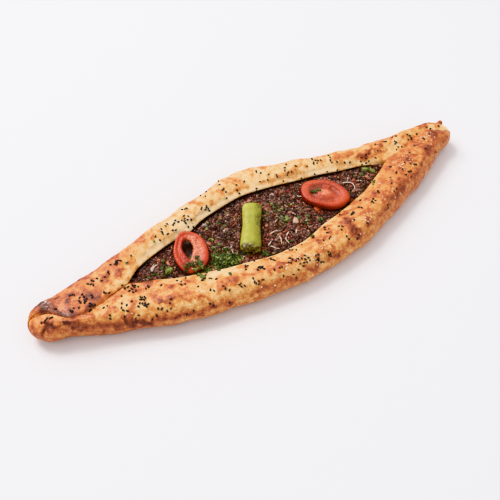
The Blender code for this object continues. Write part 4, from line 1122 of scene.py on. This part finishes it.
def addLeaf(bm, tone, matrix, size, level, turn, long, curl):
    coarse, fine = leaves["cuts"]
    for v in bmesh.ops.create_cone(bm, cap_ends=True, cap_tris=True, segments=leaves["lobes"], radius1=0.5,
                                   radius2=0.5, depth=1)["verts"]:
        p = v.co.copy()
        angle = math.atan2(p.y, p.x)
        reach = 1 + coarse * math.sin(3 * angle + turn) + fine * math.sin(7 * angle - turn)
        x, y = p.x * reach, p.y * reach * long
        bend = curl * (x * x - 0.6 * y * y) + 0.15 * math.sin(9 * x + turn)
        v.co = matrix @ Vector((x * size, y * size, bend * size + p.z * leaves["thick"] * mm))
        # raised parts of the leaf are painted lighter: painted light
        v[tone] = (clamped(level + 0.25 * bend), 0, 0, 1)


def fallenOn(draw, trees, x, y, wide):  # a random place of a pinch, on the highest surface
    drift = leaves["drift"] * wide
    return surfaceAt(trees, draw.gauss(x, drift) * mm, draw.gauss(y, drift) * mm)


# tomatoes
def tomatoMaterial():
    made, tree, shader = newMaterial("tomatoFlesh", 0.36, specular=0.4, coat=0.12, coatRoughness=0.2)
    level, pale, _ = toneParts(tree)
    cells = speckle(tree, 0.0014, 3, roughness=0.6)
    value = mottled(tree, level, cells, 0.14)
    colour = colourRamp(tree, value, ((0, (0.14, 0.012, 0.007)), (0.3, (0.31, 0.030, 0.013)),
                                      (0.6, (0.51, 0.052, 0.018)), (0.85, (0.62, 0.100, 0.034)),
                                      (1, (0.74, 0.27, 0.12))))
    flecks = sums(tree, "MULTIPLY", pale, spread(tree, speckle(tree, 0.0010, 3), 0.42, 0.62))
    colour = blendColour(tree, flecks, colour, (0.86, 0.50, 0.30))
    tree.links.new(colour, shader.inputs["Base Color"])
    tree.links.new(spread(tree, cells, 0.35, 0.65, (0.20, 0.42)), shader.inputs["Roughness"])
    shader.inputs["Subsurface Weight"].default_value = 0.12
    shader.inputs["Subsurface Radius"].default_value = (1.0, 0.3, 0.15)
    shader.inputs["Subsurface Scale"].default_value = 0.002
    addBump(tree, shader, sums(tree, "ADD", cells, speckle(tree, 0.0004, 2)), 0.0004, 0.5)
    return made


def turned(bm, profile, steps):  # the (radius, height) profile spun once about Z
    line = [bm.verts.new((r, 0, z)) for r, z in profile]
    edges = [bm.edges.new(pair) for pair in zip(line, line[1:])]
    if profile[0][0] > 0:
        edges.append(bm.edges.new((line[-1], line[0])))
    bmesh.ops.spin(bm, geom=line + edges, cent=(0, 0, 0), axis=(0, 0, 1), angle=2 * math.pi, steps=steps,
                   use_merge=True)
    bmesh.ops.remove_doubles(bm, verts=bm.verts, dist=1e-5)


def makeTomatoRing(material):
    bm = bmesh.new()
    tone = toneLayer(bm)
    turned(bm, [(1 + r, z) for r, z in ring["profile"]], tomatoSteps)
    matrix = laid(ring, -math.atan(ring["tilt"]), "Y")
    for v in bm.verts:
        angle, r, z = math.atan2(v.co.y, v.co.x), v.co.xy.length - 1, v.co.z
        unit = Vector((math.cos(angle), math.sin(angle)))
        wave = 1 + 0.03 * math.sin(3 * angle + 0.6) + 0.02 * math.sin(5 * angle)
        narrow = 1 - ring["holeNarrows"] * ease(0.3, -0.9, unit.x)  # towards its near end
        hole = unit * Vector(ring["hole"]) * Vector((1, narrow))
        point = (Vector(ring["holeShift"]) + hole).lerp(wave * unit * Vector(ring["size"]), r)
        top = ease(0.3, 0.9, z) * ease(1.0, 0.8, r)
        height = z * ring["thick"] + mm * lumps(point.x, point.y, ring["lumps"]) * top
        skin = ease(0.93, 0.995, r) * ease(0.95, 0.7, z)
        farInside = ease(0.60, 0.20, r) * ease(-0.6, 0.6, math.sin(angle))
        flesh = ring["flesh"] - ring["skinDark"] * skin - ring["farInsideDark"] * farInside
        flesh -= ring["farEndDark"] * ease(-0.2, -0.9, math.cos(angle)) + ring["lowDark"] * ease(0.7, 0.3, z)
        pale = (1 - skin) * ring["pale"] * ease(-0.3, 0.5, -math.sin(angle)) * ease(0.8, 0.4, r)
        v[tone] = (flesh, pale, 0, 1)
        v.co = matrix @ Vector((point.x, point.y, height))
    return finishPiece("tomatoRing", bm, material, "tomato", "tomato_ring")


def makeTomatoSlice(material):
    bm = bmesh.new()
    tone = toneLayer(bm)
    turned(bm, oval["profile"], tomatoSteps)
    matrix = laid(oval, math.atan(oval["tilt"]))
    for v in bm.verts:
        angle, r, z = math.atan2(v.co.y, v.co.x), v.co.xy.length, v.co.z
        wave = 1 + 0.03 * math.sin(2 * angle + 1) + 0.02 * math.sin(5 * angle)
        x, y = v.co.x * oval["size"][0] * wave, v.co.y * oval["size"][1] * wave
        top, upper = ease(0.3, 0.9, z) * ease(1.0, 0.85, r), ease(0.3, 0.6, z)
        between = ease(0.3, 0.8, math.cos(oval["ribTurns"] * angle + 0.5))  # the walls between the chambers
        ribs = bell(r, oval["chambers"], oval["ribWide"]) * between * upper
        height = z * oval["thick"] + mm * (lumps(x, y, oval["lumps"]) * top + oval["ribHeight"] * ribs)
        skin = ease(0.93, 0.995, r) * ease(0.98, 0.75, z)
        pit = bell(r, oval["chambers"], oval["pitWide"]) * (1.2 - ribs) * upper
        pit *= 0.75 + 0.45 * math.sin(angle - 1.2)
        rind = oval["rindSwing"] * math.sin(2 * angle + 2) * ease(0.6, 0.8, r)
        flesh = oval["flesh"] - oval["skinDark"] * skin - oval["pitDark"] * pit + rind
        flesh += oval["corePale"] * ease(0.30, 0.05, r)
        pale = oval["paleCore"] * ease(0.26, 0.08, r) + oval["paleRim"] * ease(0.95, 0.75, r) * upper
        v[tone] = (flesh, pale, 0, 1)
        v.co = matrix @ Vector((x, y, height))
    return finishPiece("tomatoSlice", bm, material, "tomato", "tomato_slice")


tomatoFlesh = tomatoMaterial()
tomatoRing = makeTomatoRing(tomatoFlesh)
tomatoSlice = makeTomatoSlice(tomatoFlesh)


# green pepper
def pepperMaterial():
    made, tree, shader = newMaterial("greenPepperSkin", 0.42, specular=0.35, coat=0.08, coatRoughness=0.2)
    level, spots, torn = toneParts(tree)
    blotches = speckle(tree, 0.0060, 3)
    value = mottled(tree, level, blotches, 0.12)
    colour = colourRamp(tree, value, ((0, (0.15, 0.14, 0.012)), (0.4, (0.27, 0.26, 0.028)),
                                      (0.75, (0.39, 0.37, 0.052)), (1, (0.52, 0.50, 0.12))))
    dots = sums(tree, "MULTIPLY", spots, spread(tree, speckle(tree, 0.0014, 3), 0.46, 0.56))
    tears = sums(tree, "MULTIPLY", torn, spread(tree, speckle(tree, 0.0022, 3), 0.36, 0.50))
    colour = blendColour(tree, sums(tree, "MAXIMUM", dots, tears), colour, (0.085, 0.048, 0.016))
    tree.links.new(colour, shader.inputs["Base Color"])
    addBump(tree, shader, sums(tree, "ADD", blotches, speckle(tree, 0.0008, 2)), 0.0003, 0.4)
    return made


def squared(part):  # a cosine or sine pushed outwards, which makes a round section squarer
    return math.copysign(abs(part) ** pepper["square"], part)


def makePepper():
    rows, columns = pepper["rows"], pepper["columns"]
    bm = bmesh.new()
    tone = toneLayer(bm)
    matrix = laid(pepper)

    def place(i, j, vert):
        t = clamped((i - 1) / (rows - 3))
        angle = 2 * math.pi * j / columns
        across, up = math.cos(angle), math.sin(angle)
        closed = 0 if i in (0, rows - 1) else 1
        fullness = along(pepper["stations"], t) * closed
        furrow = 1 + 0.025 * math.cos(3 * angle + 0.8) + 0.012 * math.cos(7 * angle)
        y = fullness * furrow * pepper["width"] / 2 * squared(across)
        high = mix(pepper["endHigh"], 1, ease(0.5, 1, fullness)) * pepper["thick"] / 2 * closed
        z = high * furrow * squared(up) + pepper["thick"] / 2
        ragged = pepper["ragged"] * wobble((across, up, 0), 0.35, 61)
        x = (t - 0.5) * pepper["length"] + mm * ragged * ease(0.12, 0.0, t)
        z += mm * pepper["dents"] * wobble((x, y, z), 0.006, 62)
        torn = ease(0.13, 0.03, t + 0.05 * wobble((x, y, z), 0.003, 63))
        rightSide = ease(0.0, 0.55, -across) * ease(-0.6, 0.1, up)
        dots = rightSide * (0.35 + 0.65 * bell(t, 0.60, 0.16) + 0.5 * ease(0.8, 0.95, t))
        # the side facing the lamp is painted lighter, and the end away from the torn one gets a painted
        # highlight
        level = pepper["skin"] + pepper["paintedLitSide"] * across + pepper["paintedTipHighlight"] * bell(t, 0.93, 0.06)
        vert[tone] = (level, min(1, dots), torn, 1)
        return matrix @ Vector((x, y, z))

    wrapGrid(bm, rows, columns, place)
    return finishPiece("pepperPiece", bm, pepperMaterial(), "green_pepper", "pepper_piece")


makePepper()


def makeHeap(draw, material):
    bm = bmesh.new()
    tone = toneLayer(bm)
    base = laid(heap)
    long, wide = heap["size"]
    for v in bmesh.ops.create_icosphere(bm, subdivisions=4, radius=1)["verts"]:  # the heap's packed inside
        p = v.co.copy()
        rough = 0.92 + 0.14 * wobble(p, 0.25, 72)
        v.co = base @ Vector((p.x * long * rough, p.y * wide * rough, max(0, p.z) * heap["height"] * rough))
        # the packed inside is painted dark green: painted shade in the gaps between the leaves
        v[tone] = (0.05 + 0.1 * wobble(p, 0.2, 73), 0, 0, 1)
    bmesh.ops.remove_doubles(bm, verts=bm.verts, dist=1e-6)
    jobs = []
    for k in range(heap["leaves"]):
        angle, reach = 2.4 * k, heap["overhang"] * math.sqrt((k + 0.5) / heap["leaves"])
        x, y = reach * long * math.cos(angle), reach * wide * math.sin(angle)
        dome = math.sqrt(max(0, 1 - min(1, reach) ** 2)) * heap["height"]
        fanned = Vector((x / 0.02, y / 0.012, 0.7))  # leans outwards away from the heap's middle
        normal = fanned + anyVector(draw, -0.7, 0.7)
        jobs.append(leafJob(draw, base @ Vector((x, y, max(0.0008, dome + 0.0006))), normal.normalized(),
                            draw.uniform(*heap["leafSizes"]) * mm, draw.triangular(-0.2, 1.3, 0.45)))
    inBatches(bm, jobs, addLeaf)
    return finishPiece("parsleyHeap", bm, material, "parsley", "parsley_heap")


def scatterLeaves(draw, material):
    jobs = []
    trees = crustTrees + coreTrees + surfaceTree(tomatoRing, tomatoSlice)
    for x, y, wide, count in leaves["onFilling"] + leaves["roundHeap"] + leaves["onSlices"]:
        for _ in range(count):
            hit = fallenOn(draw, trees, x, y, wide)
            if hit and hit[1].z > leaves["steepest"]:
                normal = (hit[1] + anyVector(draw, -leaves["lean"], leaves["lean"])).normalized()
                jobs.append(leafJob(draw, hit[0] + hit[1] * leaves["lift"] * mm, normal,
                                    draw.uniform(*leaves["sizes"]) * mm, draw.triangular(0.0, 1.0, 0.45)))
    for x, y, size, lean in leaves["placed"]:
        hit = surfaceAt(trees, x * mm, y * mm)
        normal = (hit[1] + anyVector(draw, -lean, lean, 2).to_3d()).normalized()
        jobs.append(leafJob(draw, hit[0] + hit[1] * leaves["placedLift"] * mm, normal, size * mm,
                            draw.uniform(*leaves["placedTone"])))
    return scatterPiece("parsleyBits", jobs, addLeaf, material, "parsley")


parsleyDraw = random.Random(71)
parsleyGreen = leafMaterial()
makeHeap(parsleyDraw, parsleyGreen)
scatterLeaves(parsleyDraw, parsleyGreen)

# floor, light and camera
studio = {
    "floorColour": (0.86, 0.85, 0.865), "floorShade": 0.985, "floorSize": 4.0,
    "worldColour": (0.99, 0.99, 1.0), "worldStrength": 0.88,
    "keyPlace": (-0.30, 1.05, 1.35), "keySize": 0.9, "keyPower": 23.0,
    "aim": (-0.0285, -0.0087, 0.0), "cameraTurn": math.radians(-32.93), "cameraRise": math.radians(50),
    "cameraAway": 0.63, "lens": 47.52, "sensor": 36, "clipStart": 0.01,
}


def makeFloor():
    bm = bmesh.new()
    bmesh.ops.create_grid(bm, x_segments=4, y_segments=4, size=studio["floorSize"] / 2)
    mesh = bpy.data.meshes.new("floor")
    bm.to_mesh(mesh)
    bm.free()
    floor = bpy.data.objects.new("floor", mesh)
    bpy.context.scene.collection.objects.link(floor)
    made, tree, shader = newMaterial("paleTable", 0.6, specular=0.2)
    shaded = tuple(studio["floorShade"] * part for part in studio["floorColour"])
    colour = colourRamp(tree, speckle(tree, 0.25, 2), ((0, shaded), (1, studio["floorColour"])))
    tree.links.new(colour, shader.inputs["Base Color"])
    mesh.materials.append(made)


def aimed(kind, name, place, target):
    made = bpy.data.objects.new(name, kind)
    bpy.context.scene.collection.objects.link(made)
    made.location = place
    made.rotation_euler = (Vector(target) - Vector(place)).to_track_quat("-Z", "Y").to_euler()
    return made


def makeStudio():
    world = bpy.data.worlds.new("studio")
    world.use_nodes = True
    background = world.node_tree.nodes["Background"]
    background.inputs["Color"].default_value = (*studio["worldColour"], 1)
    background.inputs["Strength"].default_value = studio["worldStrength"]
    bpy.context.scene.world = world
    key = bpy.data.lights.new("softbox", "AREA")
    key.shape = "SQUARE"
    key.size = studio["keySize"]
    key.energy = studio["keyPower"]
    aimed(key, "softbox", studio["keyPlace"], studio["aim"])
    lens = bpy.data.cameras.new("camera")
    lens.lens = studio["lens"]
    lens.sensor_width = studio["sensor"]
    lens.clip_start = studio["clipStart"]
    turn, rise = studio["cameraTurn"], studio["cameraRise"]
    back = Vector((math.sin(turn) * math.cos(rise), -math.cos(turn) * math.cos(rise), math.sin(rise)))
    camera = aimed(lens, "camera", Vector(studio["aim"]) + back * studio["cameraAway"], studio["aim"])
    bpy.context.scene.camera = camera
    bpy.context.scene.view_settings.view_transform = "Khronos PBR Neutral"  # keeps the colours true


makeFloor()
makeStudio()
